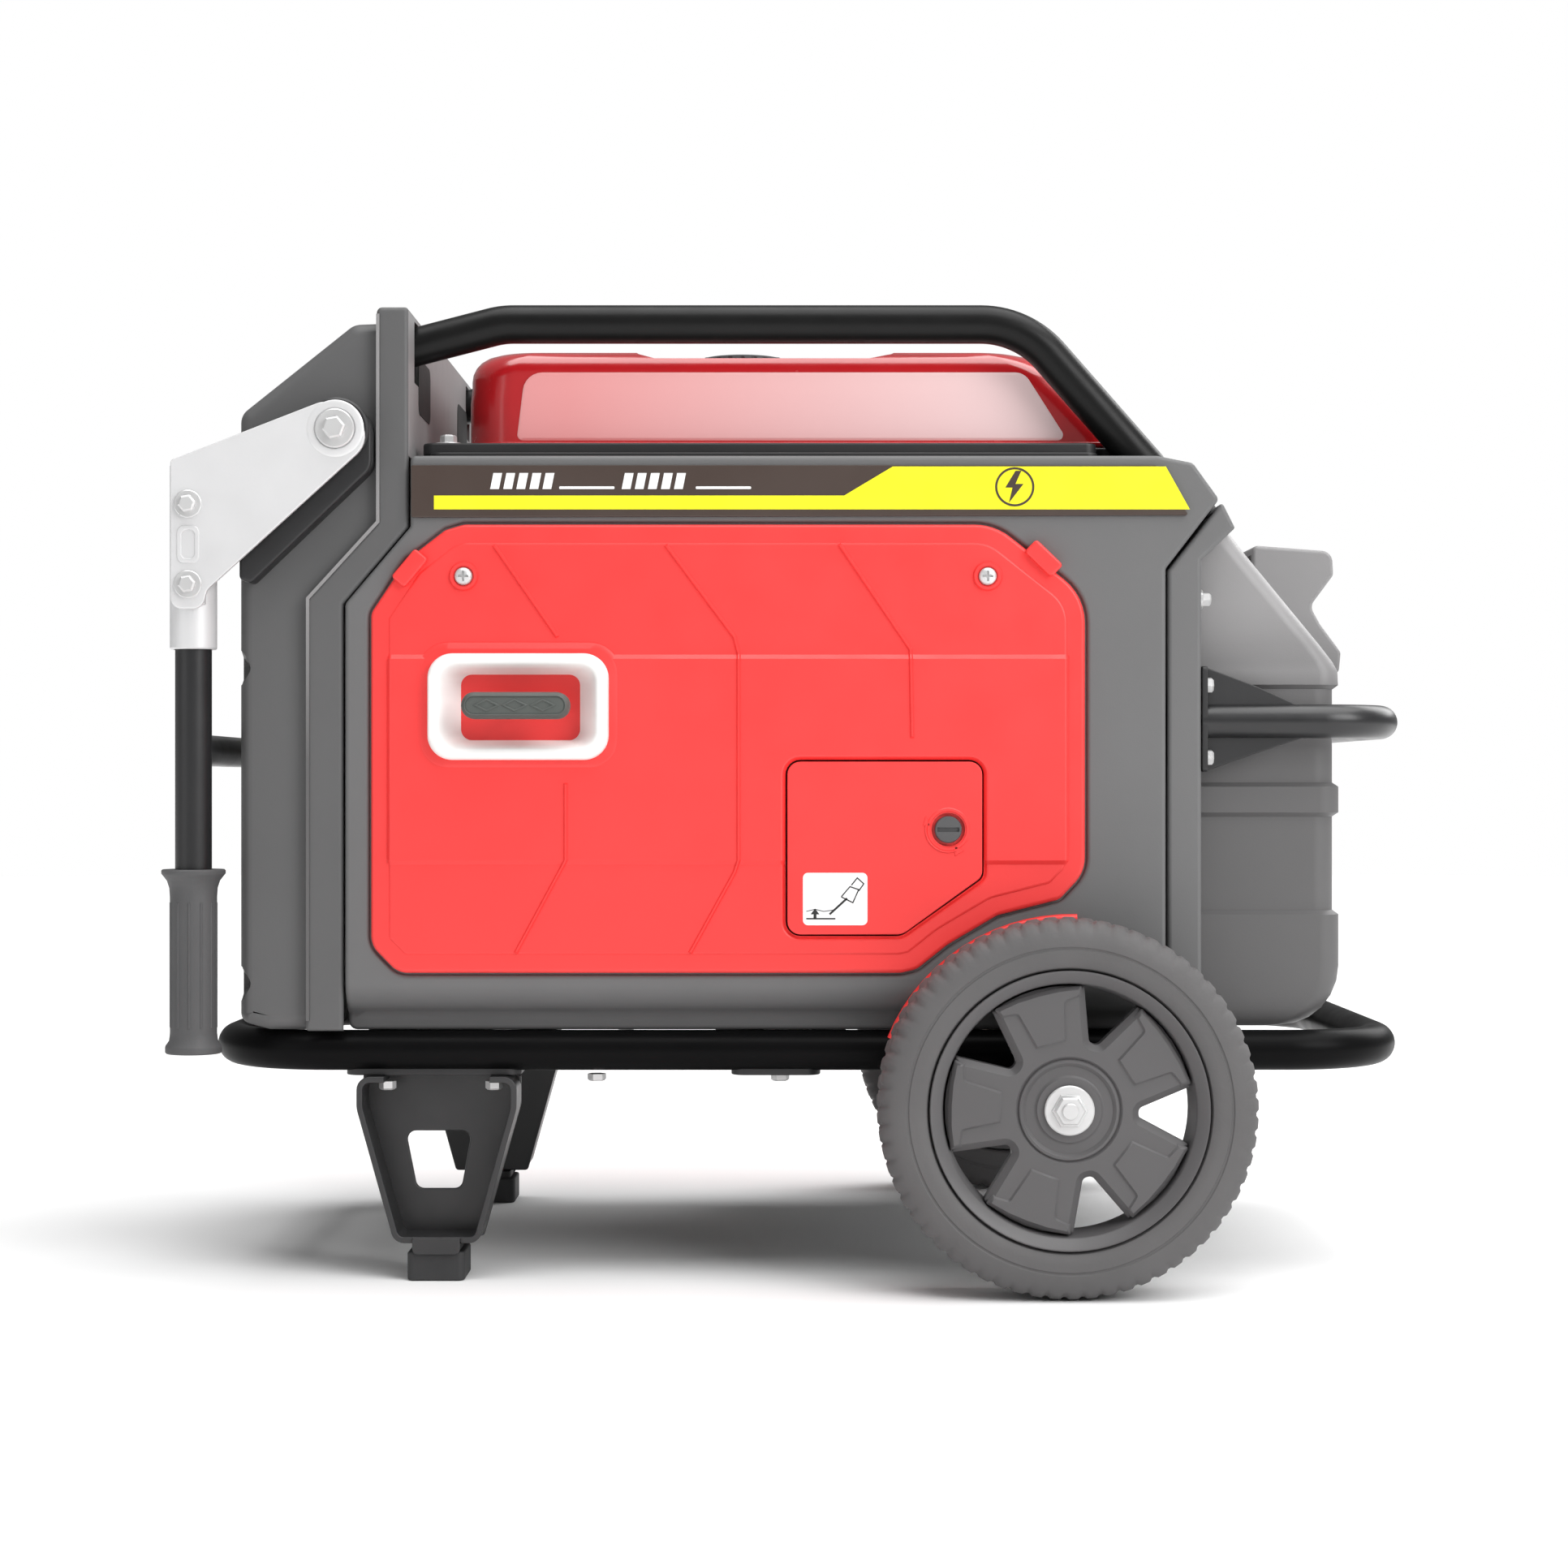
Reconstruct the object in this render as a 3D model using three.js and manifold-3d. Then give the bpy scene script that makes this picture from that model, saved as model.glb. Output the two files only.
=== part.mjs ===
// Portable inverter generator on two wheels with a folding pull handle.
// Millimetres, +X to the wheel end, -Y to the starter side, +Z up, floor at Z 0.

import * as THREE from 'three';
import ManifoldModule from 'manifold-3d';

const wasm = await ManifoldModule();
wasm.setup();

// ---------- driving dimensions ----------

const fitGap = 0.3;             // air between two pieces that touch
const seamGap = 1.2;            // visible seam round a panel or a door
const runGap = 0.6;             // air round a piece that turns

const base = {
  tube: 28,                     // loop tube diameter
  z: 158.5,                     // loop centre height
  front: -398,                  // loop centre line, front
  rear: 419.8,                  // loop centre line, rear
  inside: 181,                  // inner face of the loop, side
  straight: 120,                // half length of the straight run across each end
  plateThick: 4,
};
base.halfWidth = base.inside + base.tube / 2;     // loop centre line, side
base.corner = base.halfWidth - base.straight;

const hoop = {
  tube: 27,
  y: 165,
  footFront: -285,              // upright centre at the front
  footRear: 262,                // upright centre at the rear
  kneeZ: 640,                   // front upright ends here
  topZ: 668,                    // level part
  levelFrom: -204,
  levelTo: 163,
  kneeRearZ: 555,
};

const shell = {
  y: 215,                       // outer face of the side shells
  left: -308,
  stepLeft: -263,
  stepLowZ: 468,
  stepHighZ: 521,
  right: 258,
  rearStepZ: 492,
  tip: [295, 540],              // upper rear point
  topZ: 570,
  wall: 3,
  depth: 36,                    // return flange
  recess: 3.2,                  // seat of the coloured panel
};

const front = {
  x: -383,                      // front face
  halfWidth: 205,
  back: -336,                   // lower seam to the collar
  stepBack: -287,               // upper seam to the collar
  topZ: 664,
  wall: 3.5,
};

const rear = {
  x: 385,
  halfWidth: 186,
  collarRight: 283,
  stepZ: 498,
  shoulder: [306.5, 520.5],     // where the collar meets the slanted back
  kneeZ: 423,
  exhaustZ: 478,                // centre of the outlet
};

const bumper = {
  tube: 23.6,
  y: 200,
  z: 387,
  end: 418,                     // centre line of the cross run
  corner: 50,
};

const wheel = {
  x: 184,
  radius: 127,
  clear: 27,                    // air between the loop and the tyre
  width: 62,
  beadRadius: 93.5,
  axle: 16,
};
wheel.outerY = base.halfWidth + base.tube / 2 + wheel.clear + wheel.width;

const handle = {
  x: -412,                      // hanging tube centre
  y: 216,
  tube: 25,
  sleeve: 32,
  pivotX: -311.5,
  pivotZ: 586,
  plateThick: 4,
  sleeveTop: 563,
  sleeveBottom: 436,
  crossZ: 367,
  crossTube: 22,
  gripTop: 285,
  gripBottom: 158,
  boltRadius: 8,
};

const tank = {
  left: -232,
  right: 243,
  halfWidth: 145,
  topZ: 648,
  endRise: 6,
  lean: 62,                     // the rear end slopes forward under the rails
  capX: -37,
};

const tray = {
  left: -259,
  right: 259,
  halfWidth: 182,
  topZ: 582.6,
};

const panel = {
  left: -289.6,
  right: 201.9,
  top: 522.2,
  bottom: 213.4,
  thick: 7,
  bulge: 3,
};

const starter = {
  x: -187.6,
  z: 397,
  pulleyRadius: 55,
  rope: 5,
  travel: 180,
};

const door = {
  left: -3.1,
  right: 131,
  bottom: 240,
  top: 359,
  cut: 55,
  thick: 3.4,
  corner: 8,
};

const leg = {
  near: base.halfWidth + 15,    // open side of the channel
  far: base.halfWidth - 23,
  wall: 4,
};

const crank = {
  z: starter.z - starter.pulleyRadius,
  shaft: 24,
};

// ---------- colours ----------

const finishes = {
  blackPaint: { color: 0x1c1c1c, roughness: 0.42, metalness: 0.2 },
  blackSteel: { color: 0x222222, roughness: 0.6, metalness: 0.3 },
  greyPlastic: { color: 0x6e6e6e, roughness: 0.65, metalness: 0 },
  palePlastic: { color: 0x8a8888, roughness: 0.65, metalness: 0 },
  redPlastic: { color: 0xff4848, roughness: 0.38, metalness: 0 },
  redPaint: { color: 0xc8303a, roughness: 0.22, metalness: 0.1 },
  brownTrim: { color: 0x55484a, roughness: 0.6, metalness: 0 },
  silverPaint: { color: 0xdcdcdc, roughness: 0.35, metalness: 0.4 },
  whitePlastic: { color: 0xf2f0ea, roughness: 0.45, metalness: 0 },
  rubber: { color: 0x555555, roughness: 0.9, metalness: 0 },
  tyre: { color: 0x6a6868, roughness: 0.88, metalness: 0 },
  rimPlastic: { color: 0x6e6c6d, roughness: 0.55, metalness: 0 },
  zinc: { color: 0xb8b8b4, roughness: 0.35, metalness: 0.9 },
  castAlloy: { color: 0x9a9a98, roughness: 0.6, metalness: 0.7 },
  darkPlastic: { color: 0x2a2a2c, roughness: 0.6, metalness: 0 },
  copper: { color: 0xb06a3a, roughness: 0.5, metalness: 0.8 },
  yellowPlastic: { color: 0xf0c020, roughness: 0.5, metalness: 0 },
  cord: { color: 0x303030, roughness: 0.9, metalness: 0 },
};

// ---------- solids ----------

function solidOf(geometry) {
  const flat = geometry.index ? geometry.toNonIndexed() : geometry;
  const position = flat.getAttribute('position');
  const keys = new Map();
  const points = [];
  const triangles = [];
  for (let i = 0; i < position.count; i += 3) {
    const corner = [];
    for (let k = 0; k < 3; k += 1) {
      const p = [position.getX(i + k), position.getY(i + k), position.getZ(i + k)];
      const key = p.map((v) => Math.round(v * 10000)).join(',');
      if (!keys.has(key)) {
        keys.set(key, points.length / 3);
        points.push(...p);
      }
      corner.push(keys.get(key));
    }
    if (corner[0] !== corner[1] && corner[1] !== corner[2] && corner[0] !== corner[2]) {
      triangles.push(...corner);
    }
  }
  const mesh = new wasm.Mesh({
    numProp: 3,
    vertProperties: new Float32Array(points),
    triVerts: new Uint32Array(triangles),
  });
  return new wasm.Manifold(mesh);
}

function geometryOf(solid) {
  const mesh = solid.getMesh();
  const indexed = new THREE.BufferGeometry();
  indexed.setAttribute('position', new THREE.BufferAttribute(mesh.vertProperties, 3));
  indexed.setIndex(new THREE.BufferAttribute(mesh.triVerts, 1));
  const geometry = indexed.toNonIndexed();
  geometry.computeVertexNormals();
  return geometry;
}

function join(...solids) {
  return solids.reduce((sum, next) => sum.add(next));
}

function cut(solid, ...tools) {
  return tools.reduce((sum, next) => sum.subtract(next), solid);
}

function box(x0, x1, y0, y1, z0, z1) {
  const geometry = new THREE.BoxGeometry(x1 - x0, y1 - y0, z1 - z0);
  geometry.translate((x0 + x1) / 2, (y0 + y1) / 2, (z0 + z1) / 2);
  return solidOf(geometry);
}

// rod along one axis; at gives the other two coordinates in x, y, z order
function rod(axis, radius, from, to, at, sides = 20) {
  const geometry = new THREE.CylinderGeometry(radius, radius, to - from, sides);
  geometry.translate(0, (from + to) / 2, 0);
  if (axis === 'x') {
    geometry.rotateZ(-Math.PI / 2);
    geometry.translate(0, at[0], at[1]);
  } else if (axis === 'y') {
    geometry.translate(at[0], 0, at[1]);
  } else {
    geometry.rotateX(Math.PI / 2);
    geometry.translate(at[0], at[1], 0);
  }
  return solidOf(geometry);
}

// turned piece; profile points are [radius, distance along the axis]
function turned(axis, profile, at, sides = 28) {
  const points = profile.map(([r, d]) => new THREE.Vector2(r, d));
  const geometry = new THREE.LatheGeometry(points, sides);
  if (axis === 'x') {
    geometry.rotateZ(-Math.PI / 2);
    geometry.translate(0, at[0], at[1]);
  } else if (axis === 'y') {
    geometry.translate(at[0], 0, at[1]);
  } else {
    geometry.rotateX(Math.PI / 2);
    geometry.translate(at[0], at[1], 0);
  }
  return outward(geometry);
}

function outward(geometry) {
  const solid = solidOf(geometry);
  if (solid.volume() > 0) return solid;
  const position = geometry.toNonIndexed().getAttribute('position');
  const flipped = [];
  for (let i = 0; i < position.count; i += 3) {
    for (const k of [0, 2, 1]) {
      flipped.push(position.getX(i + k), position.getY(i + k), position.getZ(i + k));
    }
  }
  const turnedOver = new THREE.BufferGeometry();
  turnedOver.setAttribute('position', new THREE.Float32BufferAttribute(flipped, 3));
  return solidOf(turnedOver);
}

function roundedShape(corners, radius = 0) {
  const shape = new THREE.Shape();
  const count = corners.length;
  corners.forEach(([x, z, own], i) => {
    const r = own ?? radius;
    const before = corners[(i + count - 1) % count];
    const after = corners[(i + 1) % count];
    const here = new THREE.Vector2(x, z);
    const toBefore = new THREE.Vector2(before[0], before[1]).sub(here);
    const toAfter = new THREE.Vector2(after[0], after[1]).sub(here);
    const reach = Math.min(r, toBefore.length() * 0.48, toAfter.length() * 0.48);
    const start = here.clone().add(toBefore.setLength(reach));
    const end = here.clone().add(toAfter.setLength(reach));
    if (i === 0) shape.moveTo(start.x, start.y);
    else shape.lineTo(start.x, start.y);
    if (reach > 0.01) shape.quadraticCurveTo(here.x, here.y, end.x, end.y);
  });
  shape.closePath();
  return shape;
}

function prism(shape, from, to, curveSegments = 3) {
  const geometry = new THREE.ExtrudeGeometry(shape, {
    depth: to - from,
    bevelEnabled: false,
    curveSegments,
  });
  geometry.translate(0, 0, from);
  return geometry;
}

// side outline in x and z, pushed along y between two positions
function sideSlab(corners, y0, y1, radius = 0, curveSegments = 3) {
  const geometry = prism(roundedShape(corners, radius), -y1, -y0, curveSegments);
  geometry.rotateX(Math.PI / 2);
  return solidOf(geometry);
}

// plan outline in x and y, pushed along z
function planSlab(corners, z0, z1, radius = 0, curveSegments = 3) {
  return solidOf(prism(roundedShape(corners, radius), z0, z1, curveSegments));
}

// front outline in y and z, pushed along x
function frontSlab(corners, x0, x1, radius = 0, curveSegments = 3) {
  const geometry = prism(roundedShape(corners, radius), x0, x1, curveSegments);
  geometry.rotateY(Math.PI / 2);
  geometry.rotateX(Math.PI / 2);
  return solidOf(geometry);
}

function rect(u0, u1, v0, v1) {
  return [[u0, v0], [u1, v0], [u1, v1], [u0, v1]];
}

function polar(radius, degrees, x = 0, z = 0) {
  const a = THREE.MathUtils.degToRad(degrees);
  return [x + radius * Math.cos(a), z + radius * Math.sin(a)];
}

function disc(radius, sides = 20) {
  const shape = new THREE.Shape();
  for (let i = 0; i < sides; i += 1) {
    const [x, y] = polar(radius, (360 * i) / sides);
    if (i === 0) shape.moveTo(x, y);
    else shape.lineTo(x, y);
  }
  shape.closePath();
  return shape;
}

// centre line through corner points, each corner rounded by its own radius
function bentLine(points, radii) {
  const path = new THREE.CurvePath();
  let last = points[0].clone();
  for (let i = 1; i < points.length - 1; i += 1) {
    const here = points[i];
    const back = points[i - 1].clone().sub(here).normalize();
    const on = points[i + 1].clone().sub(here).normalize();
    const reach = radii[i] / Math.tan(back.angleTo(on) / 2);
    const start = here.clone().addScaledVector(back, reach);
    const end = here.clone().addScaledVector(on, reach);
    path.add(new THREE.LineCurve3(last, start));
    const steps = Math.max(2, Math.ceil((Math.PI - back.angleTo(on)) / 0.28));
    const centre = back.clone().add(on);
    centre.setLength(radii[i] / Math.sin(back.angleTo(on) / 2)).add(here);
    const from = start.clone().sub(centre);
    const axis = from.clone().cross(end.clone().sub(centre)).normalize();
    let walked = start;
    for (let k = 1; k <= steps; k += 1) {
      const turn = ((Math.PI - back.angleTo(on)) * k) / steps;
      const next = from.clone().applyAxisAngle(axis, turn).add(centre);
      path.add(new THREE.LineCurve3(walked, next));
      walked = next;
    }
    last = walked;
  }
  path.add(new THREE.LineCurve3(last, points[points.length - 1]));
  return path;
}

// round tube swept along the corner points of a bent line
function sweptTube(points, radii, radius, closed = false, sides = 16) {
  const line = bentLine(points, radii);
  const stops = [line.curves[0].v1.clone()];
  line.curves.forEach((piece) => {
    if (piece.v1.distanceTo(piece.v2) > 0.001) stops.push(piece.v2.clone());
  });
  if (closed) stops.pop();
  const spine = new Polyline(stops, closed);
  const count = closed ? stops.length : stops.length - 1;
  const geometry = new THREE.ExtrudeGeometry(disc(radius, sides), {
    steps: count,
    bevelEnabled: false,
    extrudePath: spine,
  });
  return outward(geometry);
}

// straight runs between given stops, with one step of the sweep at each stop
class Polyline extends THREE.Curve {
  constructor(stops, closed) {
    super();
    this.stops = closed ? [...stops, stops[0]] : stops;
    this.closed = closed;
  }

  getPoint(t, target = new THREE.Vector3()) {
    const last = this.stops.length - 1;
    const place = Math.min(Math.max(t, 0), 1) * last;
    const i = Math.min(Math.floor(place + 1e-9), last - 1);
    return target.lerpVectors(this.stops[i], this.stops[i + 1], place - i);
  }

  getPointAt(t, target) {
    return this.getPoint(t, target);
  }

  getTangentAt(t, target = new THREE.Vector3()) {
    const last = this.stops.length - 1;
    const i = Math.round(t * last);
    const runBack = i > 0 ? this.run(i - 1) : this.closed ? this.run(last - 1) : this.run(0);
    const runOn = i < last ? this.run(i) : this.closed ? this.run(0) : this.run(last - 1);
    return target.copy(runBack).add(runOn).normalize();
  }

  run(i) {
    return this.stops[i + 1].clone().sub(this.stops[i]).normalize();
  }
}

function v(x, y, z) {
  return new THREE.Vector3(x, y, z);
}

function mirrored(solid) {
  return solid.mirror([0, 1, 0]);
}

// ---------- scene graph ----------

const generator = new THREE.Group();
generator.name = 'portable_generator';
const materials = new Map();

function material(finish) {
  if (!materials.has(finish)) {
    materials.set(finish, new THREE.MeshStandardMaterial({ ...finishes[finish], name: finish }));
  }
  return materials.get(finish);
}

function piece(name, solid, finish) {
  const mesh = new THREE.Mesh(geometryOf(solid), material(finish).clone());
  mesh.name = name;
  generator.add(mesh);
}

// near is the starter side; the far piece is its mirror image
function pair(name, solid, finish) {
  piece(`${name}_near`, solid, finish);
  piece(`${name}_far`, mirrored(solid), finish);
}

// ---------- welded base ----------

const baseTop = base.z + base.tube / 2;
const baseBottom = base.z - base.tube / 2;
const plateBottom = baseBottom - base.plateThick + 0.8;
const plateTop = plateBottom + base.plateThick + 1;
const crossPlates = [[-310, -188], [-42, 20], [140, 292]];

function baseFrame() {
  const y = base.halfWidth;
  const middle = (base.front + base.rear) / 2;
  const loop = sweptTube(
    [
      v(middle, -y, base.z),
      v(base.rear, -y, base.z),
      v(base.rear, y, base.z),
      v(base.front, y, base.z),
      v(base.front, -y, base.z),
      v(middle, -y, base.z),
    ],
    [0, base.corner, base.corner, base.corner, base.corner, 0],
    base.tube / 2,
    true,
  );
  const plates = crossPlates.map(([x0, x1]) => box(x0, x1, -y - 6, y + 6, plateBottom, plateTop));
  const bracket = axleBracket();
  return join(loop, ...plates, bracket, mirrored(bracket));
}

function axleBracket() {
  const x = wheel.x;
  const z = wheel.radius;
  const outline = [
    [x - 44, plateTop], [x - 44, plateBottom - 10], [x - 20, z - 17], [x + 20, z - 17],
    [x + 44, plateBottom - 10], [x + 44, plateTop],
  ];
  const body = sideSlab(outline, -base.halfWidth - 27, -base.halfWidth + 15, 4);
  const bore = rod('y', wheel.axle / 2 + fitGap, -base.halfWidth - 30, -base.halfWidth + 20, [x, z]);
  return cut(body, bore);
}

piece('base_frame', baseFrame(), 'blackPaint');

// ---------- hoops of the frame ----------

function hoopTube(grow = 0) {
  const y = -hoop.y;
  const footZ = plateTop + fitGap;
  return sweptTube(
    [
      v(hoop.footFront, y, footZ),
      v(hoop.footFront, y, hoop.kneeZ + 7),
      v(hoop.levelFrom, y, hoop.topZ),
      v(hoop.levelTo, y, hoop.topZ),
      v(hoop.footRear, y, hoop.kneeRearZ),
      v(hoop.footRear, y, footZ),
    ],
    [0, 18, 60, 65, 50, 0],
    hoop.tube / 2 + grow,
  );
}

pair('top_rail', hoopTube(), 'blackPaint');

// ---------- front legs and feet ----------

const legTop = plateBottom - fitGap;

function frontLeg() {
  const outline = [
    [-301, legTop], [-301, 119], [-275, 26], [-216, 26], [-190, 119], [-190, legTop],
  ];
  const window = [[-271, 100], [-263, 59], [-232, 59], [-225, 100]];
  const inside = [
    [-297, legTop - leg.wall], [-297, 119], [-271.5, 30], [-219.5, 30], [-194, 119],
    [-194, legTop - leg.wall],
  ];
  const body = sideSlab(outline, -leg.near, -leg.far, 3);
  const hollow = sideSlab(inside, -leg.near - 1, -leg.far - leg.wall, 3);
  const opening = sideSlab(window, -leg.far - leg.wall - 1, -leg.far + 1, 5);
  return cut(body, hollow, opening);
}

function rubberFoot() {
  const foot = planSlab(rect(-266, -226, -leg.near, -leg.near + 45), 0, 20, 8);
  const neck = planSlab(rect(-262, -230, -leg.near + 4, -leg.near + 41), 19, 26 - fitGap, 6);
  return join(foot, neck);
}

pair('front_leg', frontLeg(), 'blackSteel');
pair('rubber_foot', rubberFoot(), 'rubber');

// ---------- axle and wheels ----------

const wheelZ = wheel.radius;
const axleEnd = wheel.outerY + 2;

function tyreSolid() {
  const w = wheel.width / 2;
  const r = wheel.radius;
  const bead = wheel.beadRadius;
  const y = -wheel.outerY + w;
  const half = [
    [bead, 5 - w], [bead + 4, -w], [r - 13, 0.5 - w], [r - 3, 5 - w], [r, 15 - w],
    [r, -11], [r - 4, -10], [r - 4, -6], [r, -5],
  ];
  const other = half.map(([a, d]) => [a, -d]).reverse();
  const profile = [...half, ...other, half[0]];
  return turned('y', profile.map(([a, d]) => [a, y + d]), [wheel.x, wheelZ], 36);
}

function rimSolid() {
  const outer = wheel.beadRadius - fitGap;
  const y0 = -wheel.outerY + 2;
  const y1 = y0 + wheel.width - 6;
  const bore = wheel.axle / 2 + fitGap;
  const profile = [
    [bore, y0 + 6], [22, y0 + 6], [24, y0 + 10], [30, y0 + 10], [34, y0 + 15], [80, y0 + 17],
    [84, y0 + 8], [87, y0], [outer, y0], [outer, y1], [84, y1], [80, y0 + 25],
    [34, y0 + 25], [24, y1 - 6], [bore, y1 - 6], [bore, y0 + 6],
  ];
  const dish = turned('y', profile, [wheel.x, wheelZ], 36);
  const openings = [];
  for (let k = 0; k < 5; k += 1) {
    const middle = 69 + 72 * k;
    const sector = [
      polar(46, middle - 20, wheel.x, wheelZ), polar(68, middle - 21, wheel.x, wheelZ),
      polar(72, middle, wheel.x, wheelZ), polar(68, middle + 21, wheel.x, wheelZ),
      polar(46, middle + 20, wheel.x, wheelZ),
    ];
    openings.push(sideSlab(sector, y0 - 2, y1 + 2, 7, 2));
  }
  return cut(dish, ...openings);
}

function hubNut() {
  const profile = [
    [0, -axleEnd + 0.2], [5.4, -axleEnd + 0.2], [10.7, -axleEnd + 1.2], [10.7, -axleEnd + 5.5],
    [16.6, -axleEnd + 5.5], [16.6, -wheel.outerY + 7.6], [0, -wheel.outerY + 7.6],
  ];
  return turned('y', profile, [wheel.x, wheelZ], 24);
}

const nutFace = wheel.outerY - 7.6;
const axleHalf = nutFace - fitGap;
piece('axle', rod('y', wheel.axle / 2, -axleHalf, axleHalf, [wheel.x, wheelZ]), 'zinc');
pair('tyre', tyreSolid(), 'tyre');
pair('rim', rimSolid(), 'rimPlastic');
pair('hub_nut', hubNut(), 'zinc');

// ---------- outer skin ----------

const skinBottom = baseTop + fitGap;

function shellOutline(inset) {
  return [
    [shell.left + inset, skinBottom + inset],
    [shell.right - inset, skinBottom + inset],
    [shell.right - inset, shell.rearStepZ + inset * 0.4, 2],
    [shell.tip[0] - inset * 1.4, shell.tip[1] + inset * 0.2, 2],
    [shell.tip[0] - 18 - inset * 0.6, shell.topZ - 5 - inset, 4],
    [shell.right - 6, shell.topZ - inset, 4],
    [shell.stepLeft + inset, shell.topZ - inset],
    [shell.stepLeft + inset, shell.stepHighZ - inset * 0.4, 0],
    [shell.left + inset, shell.stepLowZ - inset * 0.4],
  ];
}

function panelOutline(grow) {
  const l = panel.left - grow;
  const r = panel.right + grow;
  const t = panel.top + grow;
  const b = panel.bottom - grow;
  return [
    [l + 64, t, 10], [r - 62, t, 30], [r, t - 49, 30],
    [r, b + 69, 14], [r - 18, b + 50, 8], [r - 60, b + 40, 20], [r - 95, b + 20, 24],
    [r - 122, b, 18], [l, b, 22], [l, b + 248, 6], [l + 24, t - 25, 6], [l + 50, t - 4, 4],
  ];
}

function doorOutline(grow) {
  const l = door.left - grow;
  const r = door.right + grow;
  const b = door.bottom - grow;
  const t = door.top + grow;
  return [
    [l, b, door.corner], [r - door.cut, b, 4], [r, b + door.cut * 0.72, 4], [r, t, door.corner],
    [l, t, door.corner],
  ];
}

const panelBack = shell.y - shell.recess + fitGap;
const panelFace = panelBack + panel.thick;
const ropeHole = rod('y', starter.rope / 2 + 4, -300, -100, [starter.x, starter.z]);

function sideShell() {
  const outer = sideSlab(shellOutline(0), -shell.y, -shell.y + shell.depth, 8);
  const inner = sideSlab(
    shellOutline(shell.wall),
    -shell.y + shell.recess + 3,
    -shell.y + shell.depth + 1,
    6,
  );
  const seat = sideSlab(panelOutline(seamGap), -shell.y - 1, -shell.y + shell.recess, 0);
  const passage = box(
    hoop.footRear - 60, hoop.footRear + 20, -hoop.y - hoop.tube / 2 - runGap, -100, 540, 600,
  );
  return cut(outer, inner, seat, passage);
}

const engineWindow = sideSlab(doorOutline(-6), -300, -100, 0);
// cooling air slots through the far shell and panel
const intake = [];
for (let i = 0; i < 6; i += 1) {
  intake.push(box(-150 + i * 26, -138 + i * 26, 150, 300, 300, 420));
}

piece('side_shell_near', cut(sideShell(), engineWindow, ropeHole), 'greyPlastic');
piece('side_shell_far', cut(mirrored(sideShell()), ...intake), 'greyPlastic');

function sidePanel() {
  const plate = sideSlab(panelOutline(0), -panelFace, -panelBack, 0);
  const field = [
    [panel.left + 40, panel.top - 67], [panel.right - 40, panel.top - 67],
    [panel.right - 40, panel.bottom + 87], [panel.right - 150, panel.bottom + 25],
    [panel.left + 40, panel.bottom + 25],
  ];
  const raised = sideSlab(field, -panelFace - panel.bulge, -panelFace + 1, 24);
  return join(plate, raised);
}

const doorSeat = sideSlab(doorOutline(seamGap), -300, -panelBack - 2.4, 0);
piece('side_panel_near', cut(sidePanel(), doorSeat, engineWindow, ropeHole), 'redPlastic');
piece('side_panel_far', cut(mirrored(sidePanel()), ...intake), 'redPlastic');

// trim strip along the top of each shell
function trimStrip() {
  const face = shell.y + fitGap;
  const outline = [
    [shell.stepLeft + 1, 527], [shell.right + 16, 527], [shell.right - 8, 563],
    [shell.stepLeft + 1, 563],
  ];
  return sideSlab(outline, -face - 2.2, -face, 1.5);
}

pair('trim_strip', trimStrip(), 'brownTrim');

// ---------- front collar and housing ----------

function collarSolid() {
  const half = shell.y - 3;
  const wall = 3;
  const l = shell.left - fitGap - seamGap;
  const s = shell.stepLeft - fitGap - seamGap;
  const outline = [
    [front.back + fitGap, skinBottom], [l, skinBottom], [l, shell.stepLowZ], [s, shell.stepHighZ],
    [s, 673], [front.stepBack + fitGap, 673], [front.stepBack + fitGap, shell.stepHighZ + 3],
    [front.back + fitGap, shell.stepLowZ + 3],
  ];
  const band = sideSlab(outline, -half, half, 0);
  const core = box(-400, -200, -half + wall, half - wall, skinBottom - 1, 673 - wall);
  const bulkhead = box(s - wall, s, -half + 1, half - 1, shell.topZ, 672);
  const lips = [-1, 1].map((side) => box(
    front.back + fitGap,
    l,
    side > 0 ? half - 22 : -half,
    side > 0 ? half : -half + 22,
    skinBottom,
    skinBottom + wall,
  ));
  return join(cut(band, core), bulkhead, ...lips);
}

function collarPassages(solid) {
  const slots = [-1, 1].map((side) => box(
    hoop.footFront - 2,
    hoop.footFront + 60,
    side * hoop.y - hoop.tube / 2 - runGap,
    side * hoop.y + hoop.tube / 2 + runGap,
    600,
    668.8,
  ));
  const rail = hoopTube(runGap);
  return cut(solid, ...slots, rail, mirrored(rail));
}

piece('front_collar', collarPassages(collarSolid()), 'greyPlastic');

function housingOutline(inset) {
  const x = front.x + inset;
  const b = front.back + (inset > 0 ? 20 : 0);
  const s = front.stepBack + (inset > 0 ? 20 : 0);
  return [
    [x, skinBottom + 6 + inset, 8], [x + 8, skinBottom + inset, 6], [b, skinBottom + inset, 0],
    [b, shell.stepLowZ + 3, 0], [s, shell.stepHighZ + 3, 0], [s, front.topZ - inset, 0],
    [-306 + inset * 0.4, front.topZ - inset, 8], [x, 606 - inset * 0.2, 10],
  ];
}

const facia = { half: 150, bottom: 236, top: 590, depth: 6 };

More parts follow.
